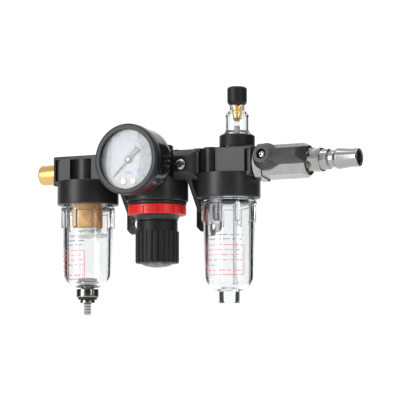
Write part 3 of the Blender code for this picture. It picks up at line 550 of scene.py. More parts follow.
def make_regulator_body():
    body = module_body("regulator_housing", REGULATOR, 14.0)
    cut(body, (shaft(18.0, -22.0, -18.6, FINE), REGULATOR))
    boss = soften([(0, 12.6), (7.6, 12.6), (7.6, 9.0), (0, 9.0)], 0.5)
    add(body, (lathe(boss), GAUGE))
    cut(body, (shaft(5.0, 7.8, 13.5), GAUGE))
    valve_bores = [(9.0, 3.0, 11.6), (6.4, -1.0, 4.0), (3.6, -11.0, 0.0), (1.9, -16.0, -10.0)]
    for radius, low, high in valve_bores:
        cut(body, (shaft(radius, low, high), REGULATOR))
    ease(body, 0.2)
    show(body, casting(), "unit", "black_casting", "regulator_body")
    plug = soften([(0, 15.3), (9.5, 15.3), (10.3, 14.6), (10.3, 10.9), (6.0, 10.9), (6.0, 5.0),
                   (4.2, 5.0), (4.2, 11.5), (0, 11.5)], 0.4)
    cap = solid("valve_plug_cap", lathe(plug), REGULATOR)
    cut(cap, (prism(hexagon(8.0), 12.6, 16.0), REGULATOR))
    ease(cap, 0.15)
    show(cap, casting(), "unit", "black_casting", "valve_guide_plug")


def make_lubricator_body():
    body = module_body("lubricator_housing", LUBRICATOR, 15.5)
    cut(body, (box((-15.7, -11.0, -5.7), (-3.4, -7.3, 12.0), 0.3, 2), LUBRICATOR))
    boss = soften([(0, 11.1), (5.2, 11.1), (5.2, -6.2), (0, -6.2)], 0.7)
    add(body, (lathe(boss), LUBRICATOR @ at(*FILLER, 0)))
    cut(body, (shaft(3.4, 7.0, 12.0), LUBRICATOR @ at(*FILLER, 0)))
    cut(body, (shaft(7.4, 7.2, 12.0), DOME))
    ease(body, 0.2)
    show(body, casting(), "unit", "black_casting", "lubricator_body")
    spout = lathe(soften([(1.0, 24.5), (1.8, 24.5), (1.8, 7.0), (1.0, 7.0)], 0.3, True), True, COARSE)
    show(solid("drip_spout", spout, DOME), frosted_plastic(), "unit", "white_plastic")
    plug = solid("filler_screw", lathe(soften([(0, 10.9), (3.1, 10.9), (3.1, 7.3), (0, 7.3)], 0.3)),
                 LUBRICATOR @ at(*FILLER, 0))
    cut(plug, (prism(hexagon(3.0), 9.0, 12.0), LUBRICATOR @ at(*FILLER, 0)))
    show(plug, knob_plastic(), "unit", "black_casting", "filler_plug")


# Bowls and what shows inside them

def bowl_wall(bottom):
    """(outer, inner) halves of a bowl's section, from the neck down and back up."""
    wall = 2.2
    centre = (BOWL_RADIUS - BOWL_BEND, bottom + BOWL_BEND)
    outer = [(15.0, -14.0), (15.0, -21.6), (16.2, -21.8), (16.2, -22.8), (17.7, -23.0), (17.7, -25.2),
             (16.3, BOWL_SHOULDER)]
    outer += arc(BOWL_BEND, 0, -90, 14, centre)
    inner = arc(BOWL_BEND - wall, -90, 0, 12, centre)
    inner += [(14.0, -24.0), (12.8, -21.0), (12.8, -14.0)]
    return outer, inner


def add_grip_ribs(bowl, matrix):
    rib_angle = 45.0
    for i in range(8):
        turn = matrix @ Matrix.Rotation(math.radians(rib_angle * i), 4, "Z")
        outline = soften([(15.2, -24.8), (17.7, -24.8), (17.7, -36.0), (17.1, -36.7), (15.2, -36.9)], 0.4)
        rib = prism(outline, -1.5, 1.5, 0.25)
        add(bowl, (rib, turn @ FRONT))


def make_bowls():
    outer, inner = bowl_wall(FILTER_BOTTOM)
    section = soften(outer + [(4.6, FILTER_BOTTOM), (4.6, -73.2)] + inner, 0.35, True)
    bowl = solid("filter_bowl_clear", lathe(section, True), FILTER)
    add_grip_ribs(bowl, FILTER)
    show(bowl, clear_plastic(), "unit", "clear_polycarbonate", "filter_bowl")
    outer, inner = bowl_wall(LUBRICATOR_BOTTOM)
    floor = (0, -78.0)
    tip = (0, -87.7)
    nub = [(7.1, -80.4), (6.9, -86.9), (6.2, -87.7), tip]
    section = soften([floor] + inner + outer + nub, 0.35)
    section = [floor] + section[1:-1] + [tip]
    bowl = solid("lubricator_bowl_clear", lathe(section), LUBRICATOR)
    add_grip_ribs(bowl, LUBRICATOR)
    show(bowl, clear_plastic(), "unit", "clear_polycarbonate", "lubricator_bowl")


def make_filter_insides():
    element = soften([(9.6, -19.6), (9.6, -35.3), (8.9, -36.1), (6.4, -36.1), (6.4, -19.6)], 0.25, True)
    show(solid("sintered_cartridge", lathe(element, True), FILTER), sinter(), "unit", "sintered_element",
         "filter_element")
    collar = soften([(2.1, -36.3), (8.4, -36.3), (7.6, -37.6), (4.3, -38.2), (4.3, -39.8), (12.5, -40.3),
                     (12.5, -41.2), (2.1, -41.5)], 0.2, True)
    show(solid("baffle_disc", lathe(collar, True), FILTER), white_plastic(), "unit", "white_plastic",
         "filter_baffle")


def make_drain():
    washer = soften([(4.2, -71.2), (5.6, -71.2), (7.2, -71.8), (7.2, -72.8), (4.2, -72.8)], 0.15, True)
    nut = solid("drain_locknut", lathe(washer, True), FILTER)
    ring = prism(hexagon(10.4), -71.6, -69.4, 0.2)
    add(nut, (ring, FILTER))
    cut(nut, (shaft(4.2, -74.0, -68.0), FILTER))
    show(nut, nickel(), "unit", "nickel_plate", "drain_nut")
    body = soften([(2.6, -69.0), (3.9, -69.0), (3.9, -75.9), (7.35, -76.2), (7.35, -81.3), (6.7, -81.6),
                   (6.7, -78.6), (2.6, -78.6)], 0.3, True)
    show(solid("drain_barrel", lathe(body, True), FILTER), nickel(), "unit", "nickel_plate", "drain_body")
    seal = arc(1.0, 90, -270, 16, (5.3, -82.0))[:-1]
    show(solid("drain_ring", lathe(seal, True), FILTER), rubber(), "drain", "black_rubber", "drain_seal")
    barb_top = -85.4
    barb_pitch = 1.85
    stem = [(0.9, -74.0), (2.2, -74.0), (2.2, -80.8), (4.0, -80.8), (4.0, -83.2), (4.9, -83.4), (4.9, -85.1)]
    for i in range(4):
        top = barb_top - i * barb_pitch
        stem += [(2.0, top), (2.65, top - 0.35), (2.0, top - 1.8)]
    stem = soften(stem + [(1.9, -92.8), (0.9, -92.8)], 0.15, True)
    show(solid("drain_barb", lathe(stem, True, COARSE), FILTER), nickel(), "drain", "nickel_plate",
         "drain_stem")


def make_oil_feed():
    tube = soften([(0.8, -8.0), (1.4, -8.0), (1.4, -76.5), (0.8, -76.5)], 0.1, True)
    show(solid("siphon", lathe(tube, True, 32), LUBRICATOR @ at(4.4, 0, 0)), thin_tubing(), "unit",
         "white_plastic", "siphon_tube")
    outline = [(-4.5, -12.7)] + arc(4.5, 180, 360, 20, (0, -33.0)) + [(4.5, -12.7)]
    place = LUBRICATOR @ at(-6.3, -6.0, 0) @ FRONT
    guard = solid("oil_guard", prism(outline, -0.6, 0.6, 0.2), place)
    slot = arc(2.2, 0, 180, 12, (0, -26.0)) + arc(2.2, 180, 360, 12, (0, -33.0))
    cut(guard, (prism(slot, -2.0, 2.0), place))
    show(guard, frosted_plastic(), "unit", "white_plastic", "splash_guard")


# Printed labels, as blank lines of short strokes

def wall_radius(z, bottom):
    """Outer radius of a bowl's wall at a height."""
    flare = 0.55
    foot = bottom + BOWL_BEND
    if z < foot:
        return BOWL_RADIUS - BOWL_BEND + math.sqrt(BOWL_BEND ** 2 - (foot - z) ** 2)
    return BOWL_RADIUS + flare * (z - foot) / (BOWL_SHOULDER - foot)


def curved_bar(bm, bottom, start, end, low, high, thick=0.05):
    """A thin bar that follows the bowl's wall. Angles run from the front towards +X."""
    gap = 0.01
    span = 3.0
    inner = [wall_radius(z, bottom) + gap for z in (low, high)]
    count = max(1, int(abs(end - start) / span))
    loops = []
    for i in range(count + 1):
        angle = math.radians(start + (end - start) * i / count)
        loop = []
        for r, z in ((inner[0], low), (inner[1], high), (inner[1] + thick, high), (inner[0] + thick, low)):
            loop.append(bm.verts.new((r * math.sin(angle) * MM, -r * math.cos(angle) * MM, z * MM)))
        loops.append(loop)
    for a, b in zip(loops, loops[1:]):
        for k in range(4):
            bm.faces.new((a[k], a[(k + 1) % 4], b[(k + 1) % 4], b[k]))
    bm.faces.new(loops[0])
    bm.faces.new(loops[-1])


def text_row(bm, bottom, start, end, middle, height, draw):
    """A row of blank strokes in word-sized groups, drawn from a seeded generator."""
    between_letters = 1.0
    between_words = 5.0
    low = middle - height / 2
    angle = start
    while angle < end - 2.0:
        letters = draw.randint(3, 8)
        for _ in range(letters):
            wide = draw.uniform(1.2, 2.2)
            if angle + wide > end:
                break
            tall = height * draw.choice((0.7, 0.7, 1.0))
            curved_bar(bm, bottom, angle, angle + wide, low, low + tall)
            angle += wide + between_letters
        angle += between_words


def make_label(name, matrix, bottom, centre, seed):
    draw = random.Random(seed)
    half = 48.3
    left = centre - half
    right = centre + half
    text_height = 0.75
    black = bmesh.new()
    for row in (-45.4, -48.1):
        text_row(black, bottom, left, right, row, text_height, draw)
    red = bmesh.new()
    top = -51.6
    foot = -70.6
    line = 0.32
    gap = 16.0
    curved_bar(red, bottom, left + 2, centre - gap, top - line, top)
    curved_bar(red, bottom, centre + gap - 4, right - 2, top - line, top)
    curved_bar(red, bottom, left + 2, right - 2, foot, foot + line)
    side = 1.2
    corner = 0.8
    pieces = 6
    step = (top - foot - 1.6) / pieces
    for edge in (left, right - side):
        for k in range(pieces):
            low = foot + corner + k * step
            high = foot + corner + (k + 1) * step
            curved_bar(red, bottom, edge, edge + side, low, high)
    for edge, inward in ((left + 0.6, 1), (right - 0.6, -1)):
        for level, up in ((top - line / 2, -1), (foot + line / 2, 1)):
            across = sorted((edge, edge + inward * 1.6))
            heights = sorted((level + up * 0.75, level + up * 0.35))
            curved_bar(red, bottom, *across, *heights)
    text_row(red, bottom, centre - gap + 3, centre + gap - 6, top - 0.1, 0.9, draw)
    short_row = -64.3
    for row in (-54.7, -57.8, -61.1, short_row, -67.7):
        stop = left + 30 if row == short_row else right - 3.5
        text_row(red, bottom, left + 3.5, stop, row, text_height, draw)
    for label, bm, tint in (("black", black, (0.03, 0.03, 0.03)), ("red", red, (0.75, 0.05, 0.05))):
        bmesh.ops.recalc_face_normals(bm, faces=bm.faces)
        piece = solid("%s_%s" % (name, label), bm, matrix)
        show(piece, ink("ink_" + label, tint), "unit", "clear_polycarbonate")


# Regulator

def notched(angle, r, z):
    """Twelve grip notches that leave a thin rim at the top of the ring nut."""
    notch_share = 0.31
    rim = -24.9
    share = (angle / math.tau * 12.0) % 1.0
    if r > 18.0 and z < rim and share < notch_share:
        return r - 1.0
    return r


def fluted(angle, r, z):
    """Twenty-four narrow grooves with rounded ribs between them."""
    groove_share = 0.24
    rib_share = 0.76
    share = (angle / math.tau * 24.0) % 1.0
    if r < 13.0 or z > -40.9:
        return r
    if share < groove_share:
        return min(r, 13.3)
    crown = math.sin(math.pi * (share - groove_share) / rib_share)
    return r - 0.22 * (1.0 - crown)


def make_regulator():
    section = soften([(17.4, -20.8), (17.4, -21.7), (18.9, -21.7), (18.9, -23.3), (16.2, -23.5),
                      (16.2, -30.1), (14.8, -30.4), (13.8, -32.0), (13.4, -32.6), (13.4, -33.6),
                      (11.5, -33.7), (11.5, -53.3), (3.3, -53.3), (3.3, -50.8), (10.0, -50.8),
                      (10.0, -26.5), (15.2, -24.6), (15.2, -20.8)], 0.3, True)
    show(solid("bonnet_shell", lathe(section, True), REGULATOR), casting(), "unit", "black_casting",
         "bonnet")
    section = [(16.6, -23.8), (18.4, -23.8), (18.7, -24.1), (18.7, -24.85), (18.7, -24.95), (18.7, -29.6),
               (18.4, -30.0), (16.6, -30.0)]
    nut = solid("red_ring_nut", lathe(section, True, 192, notched), REGULATOR)
    show(nut, red_plastic(), "ring_nut", "red_nut", "ring_nut")
    section = soften([(12.2, -34.0), (12.9, -34.0), (13.15, -34.3), (13.15, -40.3)], 0.3)
    section += [(13.2, -40.45), (14.05, -40.6), (14.05, -40.85), (14.05, -40.95)]
    section += [(14.05, -59.6), (13.95, -60.2), (13.7, -60.7), (13.2, -60.95)]
    section += soften([(12.9, -60.95), (10.35, -60.95), (10.35, -59.1), (6.0, -59.1), (6.0, -53.8),
                       (12.2, -53.8)], 0.2)
    knob = solid("knob_grip", lathe(section, True, 24 * 12, fluted), REGULATOR)
    show(knob, knob_plastic(), "knob", "black_knob", "adjusting_knob")
    section = [(0, -59.4), (10.0, -59.4), (10.0, -61.0), (9.8, -61.4), (9.2, -61.9), (8.1, -62.4),
               (6.6, -62.8), (4.8, -63.15), (2.6, -63.4), (0, -63.5)]
    cap_finish = surface("cast_knob_cap", (0.13, 0.13, 0.13), 0.4, grain=2500, mottle=0.7, bump=0.0006,
                         bump_scale=620)
    show(solid("knob_cap_disc", lathe(section), REGULATOR), cap_finish, "knob", "black_knob", "knob_cap")


def make_coil(name, matrix, radius, low, high, turns, wire, node):
    """A coil spring of round wire, wound evenly from low to high."""
    per_turn = 24
    around = 10
    up = Vector((0, 0, 1))
    bm = bmesh.new()
    loops = []
    for i in range(turns * per_turn + 1):
        angle = math.tau * i / per_turn
        middle = Vector((radius * math.cos(angle), radius * math.sin(angle),
                         low + (high - low) * i / (turns * per_turn)))
        outward = Vector((math.cos(angle), math.sin(angle), 0.0))
        loop = []
        for k in range(around):
            turn = math.tau * k / around
            point = middle + (outward * math.cos(turn) + up * math.sin(turn)) * wire
            loop.append(bm.verts.new(point * MM))
        loops.append(loop)
    for a, b in zip(loops, loops[1:]):
        for k in range(around):
            j = (k + 1) % around
            bm.faces.new((a[k], a[j], b[j], b[k]))
    bm.faces.new(loops[0])
    bm.faces.new(loops[-1])
    bmesh.ops.recalc_face_normals(bm, faces=bm.faces)
    coil = show(solid(name, bm, matrix), steel(), "unit", "steel", node)
    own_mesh(coil)


def make_springs():
    make_coil("range_spring", REGULATOR, 7.9, -45.9, -23.8, 4, 1.0, "regulating_spring")
    make_coil("valve_spring", REGULATOR, 2.9, 2.5, 10.6, 3, 0.4, "poppet_spring")


# Gauge

def make_gauge_case():
    section = soften([(18.7, 42.0), (21.6, 42.0), (22.5, 41.0), (22.5, 36.6), (21.75, 36.6), (21.75, 40.35),
                      (18.7, 40.35)], 0.45, True)
    show(solid("gauge_rim", lathe(section, True, 128), GAUGE), bezel_paint(), "unit", "gauge_case_black",
         "gauge_bezel")
    section = [(20.6, 40.0), (21.4, 40.0)]
    for seam in (34.9, 31.8, 26.4):
        section += [(21.4, seam + 0.28), (21.12, seam + 0.1), (21.12, seam - 0.1), (21.4, seam - 0.28)]
    section += soften([(21.4, 24.0), (21.4, 20.4), (4.2, 20.4), (4.2, 22.0), (20.0, 22.0), (20.0, 38.6),
                       (20.6, 38.6)], 0.6)
    show(solid("gauge_shell", lathe(section, True, 128), GAUGE), gauge_paint(), "unit", "gauge_case_black",
         "gauge_case", smooth=50.0)
    section = soften([(0, 40.0), (20.3, 40.0), (20.3, 38.95), (0, 38.95)], 0.1)
    show(solid("gauge_window", lathe(section), GAUGE), gauge_glass(), "unit", "clear_polycarbonate",
         "gauge_lens")
    stem = solid("gauge_fitting", prism(hexagon(12.1, 0.0), 12.9, 20.1, 0.4), GAUGE)
    add(stem, (shaft(4.6, 8.4, 13.2), GAUGE), (shaft(3.8, 19.5, 23.0), GAUGE),
        (box((-4.0, -6.0, 22.3), (4.0, 4.0, 31.0), 0.3), GAUGE))
    cut(stem, (shaft(1.1, 25.0, 32.0, 24), GAUGE))
    show(stem, brass(), "unit", "brass", "gauge_stem")


def dial_text(name, words, angle, radius, size, finish):
    """Thin printed figures, upright, at an angle and radius on the dial."""
    curve = bpy.data.curves.new(name, "FONT")
    curve.body = words
    curve.size = size * MM
    curve.align_x = "CENTER"
    curve.align_y = "CENTER"
    curve.extrude = 0.015 * MM
    holder = bpy.data.objects.new(name + "_curve", curve)
    bpy.context.scene.collection.objects.link(holder)
    bpy.context.view_layer.update()
    depsgraph = bpy.context.evaluated_depsgraph_get()
    mesh = bpy.data.meshes.new_from_object(holder.evaluated_get(depsgraph))
    bpy.data.objects.remove(holder, do_unlink=True)
    turn = math.radians(angle)
    text_level = 37.45
    mesh.transform(GAUGE @ at(radius * math.cos(turn), radius * math.sin(turn), text_level))
    obj = bpy.data.objects.new(name, mesh)
    bpy.context.scene.collection.objects.link(obj)
    show(obj, finish, "unit", "dial_white")


def tick(bm, angle, inner, outer, width):
    turn = Matrix.Rotation(math.radians(angle), 4, "Z")
    low = Vector((inner, -width / 2, DIAL_INK_LOW)) * MM
    high = Vector((outer, width / 2, DIAL_INK_HIGH)) * MM
    place = turn @ Matrix.Translation((low + high) / 2) @ Matrix.Diagonal((*(high - low), 1.0))
    bmesh.ops.create_cube(bm, size=1.0, matrix=place)


def scale_arc(bm, radius, width):
    """A thin printed arc from the first mark to the last."""
    points = arc(radius + width / 2, 225, -45, 90) + arc(radius - width / 2, -45, 225, 90)
    half = len(points) // 2
    low = [bm.verts.new((x * MM, y * MM, DIAL_INK_LOW * MM)) for x, y in points]
    high = [bm.verts.new((x * MM, y * MM, DIAL_INK_HIGH * MM)) for x, y in points]
    count = len(points)
    for i in range(count):
        j = (i + 1) % count
        bm.faces.new((low[i], low[j], high[j], high[i]))
    for side in (low, high):
        for i in range(half - 1):
            bm.faces.new((side[i], side[i + 1], side[count - 2 - i], side[count - 1 - i]))


def make_dial():
    section = soften([(1.3, DIAL_FACE), (19.6, DIAL_FACE), (19.6, 36.6), (1.3, 36.6)], 0.1, True)
    dial = solid("dial_plate", lathe(section, True), GAUGE)
    show(dial, dial_enamel(), "unit", "dial_white", "gauge_dial")
    black = ink("dial_black", (0.02, 0.02, 0.022))
    blue = ink("dial_blue", (0.04, 0.11, 0.42))
    dark_marks = bmesh.new()
    blue_marks = bmesh.new()
    for i in range(DIAL_MARKS):
        angle = DIAL_START - DIAL_STEP * i
        long = i % 5 == 0
        tick(dark_marks, angle, 14.0 if long else 14.8, 15.9, 0.30 if long else 0.14)
        tick(blue_marks, angle, 12.2, 13.7 if long else 13.2, 0.26 if long else 0.12)
    scale_arc(blue_marks, 12.4, 0.09)
    for name, bm, finish in (("dial_marks_dark", dark_marks, black), ("dial_marks_blue", blue_marks, blue)):
        bmesh.ops.recalc_face_normals(bm, faces=bm.faces)
        show(solid(name, bm, GAUGE), finish, "unit", "dial_white")
    between_numbers = 54.0
    for i in range(6):
        angle = DIAL_START - between_numbers * i
        dial_text("dial_number_%d" % i, "%g" % (i / 5), angle, 17.6, 2.7, black)
        dial_text("dial_inner_number_%d" % i, "%d" % (i * 2), angle, 10.2, 2.6, blue)
    dial_text("dial_unit", "MPa", 270.0, 8.2, 2.9, blue)
    for side, label in ((-1, "left"), (1, "right")):
        place = GAUGE @ at(side * 3.4, -13.6, 0)
        head = soften([(0, 38.3), (1.7, 38.3), (2.0, 38.0), (2.0, 37.7), (1.0, 37.7), (1.0, 33.5),
                       (0, 33.5)], 0.15)
        screw = solid("dial_screw_head_" + label, lathe(head, sides=32), place)
        slot = box((-2.5, -0.22, 38.05), (2.5, 0.22, 39.0))
        cut(screw, (slot, place @ Matrix.Rotation(0.6 * side, 4, "Z")))
        show(screw, brass(), "unit", "brass", "dial_screw_" + label)


def make_pointer():
    needle = [(14.6, 0.2), (2.0, 0.75), (0.5, 1.3), (-3.0, 1.55), (-9.6, 1.9), (-9.6, -1.9), (-3.0, -1.55),
              (0.5, -1.3), (2.0, -0.75), (14.6, -0.2)]
    turn = GAUGE @ Matrix.Rotation(math.radians(DIAL_START), 4, "Z")
    pointer = solid("pointer_needle", prism(needle, 37.9, 38.3, 0.1), turn)
    hub = soften([(0, 38.6), (2.0, 38.6), (2.4, 38.3), (2.4, 37.7), (0, 37.7)], 0.1)
    add(pointer, (lathe(hub, sides=COARSE), GAUGE), (shaft(0.8, 26.0, 38.2, 24), GAUGE))
    show(pointer, pointer_metal(), "pointer", "pointer_grey", "gauge_pointer")
    pin = soften([(0, 38.85), (0.7, 38.85), (1.0, 38.62), (0, 38.62)], 0.1)
    show(solid("pointer_pin", lathe(pin, sides=32), GAUGE), steel(), "pointer", "pointer_grey")


# Sight dome

def make_dome():
    section = soften([(9.3, 18.7), (10.2, 18.7), (11.25, 17.8), (11.25, 10.9), (9.3, 10.9)], 0.35, True)
    show(solid("dome_collar", lathe(section, True), DOME), knob_plastic(), "unit", "black_casting",
         "dome_base")
    outer = [(3.7, 37.4), (5.0, 37.4), (5.0, 35.0)] + arc(3.8, 65, 0, 8, (3.6, 30.6)) + [(7.4, 21.6)]
    outer += [(7.9, 20.4), (8.9, 19.5), (8.9, 11.0)]
    section = soften(outer + [(6.2, 11.0), (6.2, 30.2), (3.7, 34.0)], 0.3, True)
    show(solid("sight_glass", lathe(section, True), DOME), clear_plastic(), "unit", "clear_polycarbonate",
         "sight_dome")
    section = soften([(0, 49.4), (5.0, 49.4), (6.25, 48.4), (6.25, 39.7), (5.4, 37.9), (1.9, 37.9),
                      (1.9, 45.0), (0, 45.0)], 0.7, steps=5)
    show(solid("drip_knob_grip", lathe(section), DOME), knob_plastic(), "drip_knob", "black_knob",
         "drip_knob")
    section = soften([(0, 43.0), (1.5, 43.0), (1.5, 36.8), (3.25, 36.6), (3.25, 32.6), (2.6, 29.8),
                      (3.0, 29.6), (3.0, 29.0), (2.2, 28.7), (1.6, 27.4), (0, 27.4)], 0.15)
    show(solid("drip_needle", lathe(section, sides=COARSE), DOME), turned_brass(), "needle", "brass",
         "needle_valve")


# Brackets and clamps

def make_bracket(side, x):
    matrix = at(x, AXIS_Y, 0)
    name = "bracket_" + side
    bracket = solid(name, box((-4.9, -10.0, -8.6), (4.9, 11.0, 10.2), 0.4), matrix)
    add(bracket, (box((-9.8, 10.3, -5.4), (9.8, 13.0, 8.3), 0.4), matrix))
    for hand in (-1, 1):
        across = sorted((hand * 6.9, hand * 9.8))
        add(bracket, (box((across[0], 7.9, -5.4), (across[1], 10.8, 8.3), 0.2), matrix))
    web = [(-5.3, -8.0), (-2.3, -12.8), (6.6, -24.2), (17.9, -38.2), (20.5, -38.2), (20.5, 7.7), (9.0, 7.7),
           (9.0, -8.0)]
    sideways = Matrix.Rotation(math.radians(90), 4, "Z") @ FRONT
    add(bracket, (prism(web, -1.5, 1.5, 0.3), matrix @ sideways))
    flange = soften([(-7.9, 10.0), (7.9, 10.0), (7.9, -36.6), (4.9, -39.6), (-4.9, -39.6),
                      (-7.9, -36.6)], 0.6, True)
    add(bracket, (prism(flange, -23.0, -20.0, 0.3), matrix @ FRONT))
    hole = matrix @ at(0, 0, -32.6) @ FRONT
    cut(bracket, (shaft(4.6, -19.9, -6.0), hole), (shaft(3.4, -24.0, -18.0), hole))
    cut(bracket, (shaft(5.7, -6.0, 6.0), matrix @ FLOW))
    for hand in (-1, 1):
        low, high = sorted((hand * 3.5, hand * 6.0))
        cut(bracket, (shaft(9.0, low, high), matrix @ FLOW))
    cut(bracket, (shaft(2.1, 6.5, 11.0), matrix @ FRONT))
    show(bracket, casting(), "unit", "black_casting", "wall_bracket_" + side)


def tapered_block(low, high, insets, edge):
    """A box whose top face is drawn in by insets: left, right, front and back."""
    bm = box(low, high)
    left, right, front, back = insets
    for vert in bm.verts:
        if vert.co.z > (low[2] + high[2]) / 2 * MM:
            vert.co.x += left * MM if vert.co.x < (low[0] + high[0]) / 2 * MM else -right * MM
            vert.co.y += front * MM if vert.co.y < (low[1] + high[1]) / 2 * MM else -back * MM
    bmesh.ops.bevel(bm, geom=bm.edges[:], offset=edge * MM, segments=3, affect="EDGES", profile=0.5)
    return bm


def cross_screw(name, matrix, profile, floor, length, width, body, slot, node):
    """A turned screw with a cross recess that goes down to floor."""
    screw = solid(name, lathe(soften(profile, 0.35), sides=COARSE), matrix)
    top = profile[0][1] + 0.2
    turn = matrix @ Matrix.Rotation(math.radians(33.0), 4, "Z")
    for across, up in ((length, width), (width, length)):
        cut(screw, (tapered_block((-across / 2, -up / 2, floor), (across / 2, up / 2, top),
                                  (-0.12, -0.12, -0.12, -0.12), 0.08), turn))
    show(screw, nickel(), body, slot, node)


def make_clamp(side, x):
    matrix = at(x, AXIS_Y, 0)
    front = matrix @ at(0, 0, 0.6) @ FRONT
    clamp = solid("clamp_block_" + side, tapered_block((-9.3, -9.2, 10.3), (9.3, 9.2, 16.0),
                                                       (3.9, 3.9, 4.1, 4.1), 0.35), front)
    for hand in (-1, 1):
        across = sorted((hand * 6.9, hand * 9.8))
        add(clamp, (box((across[0], -6.0, 7.9), (across[1], 7.7, 11.3), 0.2), front))
        cut(clamp, (shaft(20.5, -12.0, -5.4, FINE), matrix @ at(hand * PITCH / 2, 0, 0)))
    cut(clamp, (shaft(2.3, 9.0, 17.0), matrix @ FRONT))
    show(clamp, casting(), "unit", "black_casting", "clamp_" + side)
    head = [(0, 18.4), (2.2, 18.4), (3.4, 17.4), (3.4, 16.3), (1.8, 16.3), (1.8, 6.9), (0, 6.9)]
    cross_screw("clamp_bolt_" + side, matrix @ FRONT, head, 17.2, 4.2, 0.9, "unit", "nickel_plate",
                "clamp_screw_" + side)


# Inlet nipple, ball valve and hose plug

def make_nipple():
    section = soften([(4.6, -64.2), (6.2, -64.2), (6.58, -64.7), (6.58, -85.7), (6.1, -86.3), (4.6, -86.3)],
                     0.25, True)
    show(solid("inlet_pipe", lathe(section, True), PORTS), turned_brass(), "unit", "brass", "inlet_nipple")


def hex_chamfer(low, high, reach, depth, corner):
    """Ring cutters that chamfer a hexagonal bar at its ends, from radius reach near the end face
    out to radius corner, depth further in. An end of None stays square."""
    tools = []
    for end, way in ((low, -1), (high, 1)):
        if end is None:
            continue
        tools.append(lathe([(corner + 3, end + way * 0.5), (corner + 3, end - way * depth),
                            (corner + 0.05, end - way * depth), (reach, end + way * 0.5)], True, 64))
    return tools


def make_valve():
    end = solid("valve_end_cap", prism(hexagon(21.6), -11.0, -5.8), VALVE_FLOW)
    for tool in hex_chamfer(-11.0, None, 10.4, 1.0, 12.4):
        cut(end, (tool, VALVE_FLOW))
    add(end, (shaft(6.58, -20.0, -10.5, 64), VALVE_FLOW), (shaft(8.2, -6.5, -4.4, 64), VALVE_FLOW))
    cut(end, (shaft(4.2, -21.0, 0.0), VALVE_FLOW))
    relief = lathe([(0, -4.2), (6.6, -4.2), (4.3, -6.7), (0, -6.7)], sides=64)
    cut(end, (relief, VALVE_FLOW))
    ease(end, 0.25)
    show(end, nickel(), "unit", "nickel_plate", "valve_end")
    body = solid("valve_barrel", prism(hexagon(19.6), -5.5, 23.8), VALVE_FLOW)
    for tool in hex_chamfer(None, 23.8, 8.9, 2.4, 11.3):
        cut(body, (tool, VALVE_FLOW))
    add(body, (shaft(5.4, 8.9, 12.1, 64), VALVE_FRONT))
    cut(body, (shaft(8.5, -6.5, 7.7, 64), VALVE_FLOW), (shaft(4.2, 7.0, 12.0), VALVE_FLOW),
        (shaft(6.9, 11.0, 24.8, 64), VALVE_FLOW), (shaft(2.5, 7.0, 13.0), VALVE_FRONT))
    ease(body, 0.35)
    show(body, nickel(), "unit", "nickel_plate", "valve_body")


def make_lever():
    hub = soften([(0, 21.0), (5.6, 21.0), (6.0, 20.6), (6.0, 17.6), (8.6, 14.6), (8.6, 11.3),
                  (0, 11.3)], 0.5)
    lever = solid("lever_handle", lathe(hub), VALVE_FRONT)
    arm = tapered_block((-1.0, -5.6, 13.5), (27.6, 5.6, 20.95), (0.0, 4.0, 2.6, 2.6), 0.5)
    add(lever, (arm, VALVE_FRONT))
    cut(lever, (shaft(6.1, 10.0, 12.5), VALVE_FRONT), (shaft(2.4, 12.0, 16.7), VALVE_FRONT),
        (shaft(1.6, 16.0, 18.5), VALVE_FRONT), (shaft(3.3, 17.9, 22.0), VALVE_FRONT))
    ease(lever, 0.2)
    show(lever, lever_vinyl(), "lever", "black_knob", "valve_lever")
    head = [(0, 20.3), (1.7, 20.3), (2.7, 19.4), (2.7, 18.2), (1.2, 18.2), (1.2, 13.2), (0, 13.2)]
    cross_screw("lever_bolt", VALVE_FRONT, head, 19.2, 3.4, 0.8, "lever", "nickel_plate", "lever_screw")


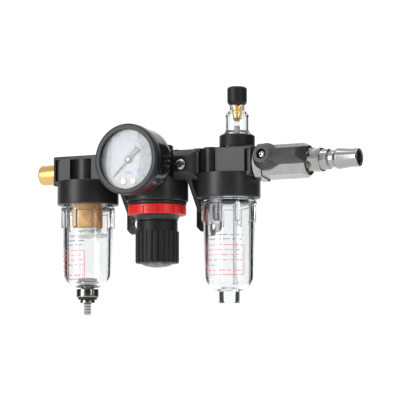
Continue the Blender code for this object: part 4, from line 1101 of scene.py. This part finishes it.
def make_plug():
    shoulder = 108.5
    section = [(3.9, 141.5), (5.4, 141.5), (5.8, 140.9), (5.6, 137.0), (6.55, 127.6), (6.1, 126.2),
               (5.2, 125.6), (5.4, 125.2), (5.4, 122.2), (5.0, 121.9), (6.45, 121.4), (6.45, 116.2),
               (6.2, 115.0),
               (6.2, shoulder - 0.2), (6.5, shoulder - 0.6), (6.5, 98.4), (6.1, 97.9), (3.9, 97.9)]
    plug = solid("hose_plug", lathe(soften(section, 0.3, True), True, 64), PORTS)
    ring = prism(hexagon(14.3), shoulder, 116.7)
    add(plug, (ring, PORTS))
    for tool in hex_chamfer(shoulder, 116.7, 7.2, 1.0, 8.2):
        cut(plug, (tool, PORTS))
    cut(plug, (shaft(3.9, 97.0, 142.0, 64), PORTS))
    ease(plug, 0.12)
    show(plug, nickel(), "unit", "nickel_plate", "quick_plug")


def dress_hidden_nodes():
    """Nodes that stay as CAD solids still get a worked material."""
    finishes = {"black_casting": casting, "black_knob": knob_plastic, "black_rubber": rubber,
                "white_plastic": white_plastic, "sintered_element": sinter, "nickel_plate": nickel,
                "brass": brass, "steel": steel, "dial_white": dial_enamel, "pointer_grey": pointer_metal,
                "red_nut": red_plastic, "gauge_case_black": gauge_paint,
                "clear_polycarbonate": clear_plastic}
    slots = {part["node"]: part["material_slot"] for part in frame["record"]["subparts"]}
    for name, node in NODES.items():
        if node.hide_render:
            continue
        node.data.materials.clear()
        node.data.materials.append(finishes[slots[name]]())


def main():
    make_camera()
    make_studio()
    make_filter_body()
    make_regulator_body()
    make_lubricator_body()
    make_bowls()
    make_filter_insides()
    make_drain()
    make_oil_feed()
    make_label("filter_label", FILTER, FILTER_BOTTOM, -25.3, 7)
    make_label("lubricator_label", LUBRICATOR, LUBRICATOR_BOTTOM, 14.3, 11)
    make_regulator()
    make_springs()
    make_gauge_case()
    make_dial()
    make_pointer()
    make_dome()
    for side, x in (("left", -PITCH / 2), ("right", PITCH / 2)):
        make_bracket(side, x)
        make_clamp(side, x)
    make_nipple()
    make_valve()
    make_lever()
    make_plug()
    dress_hidden_nodes()


main()
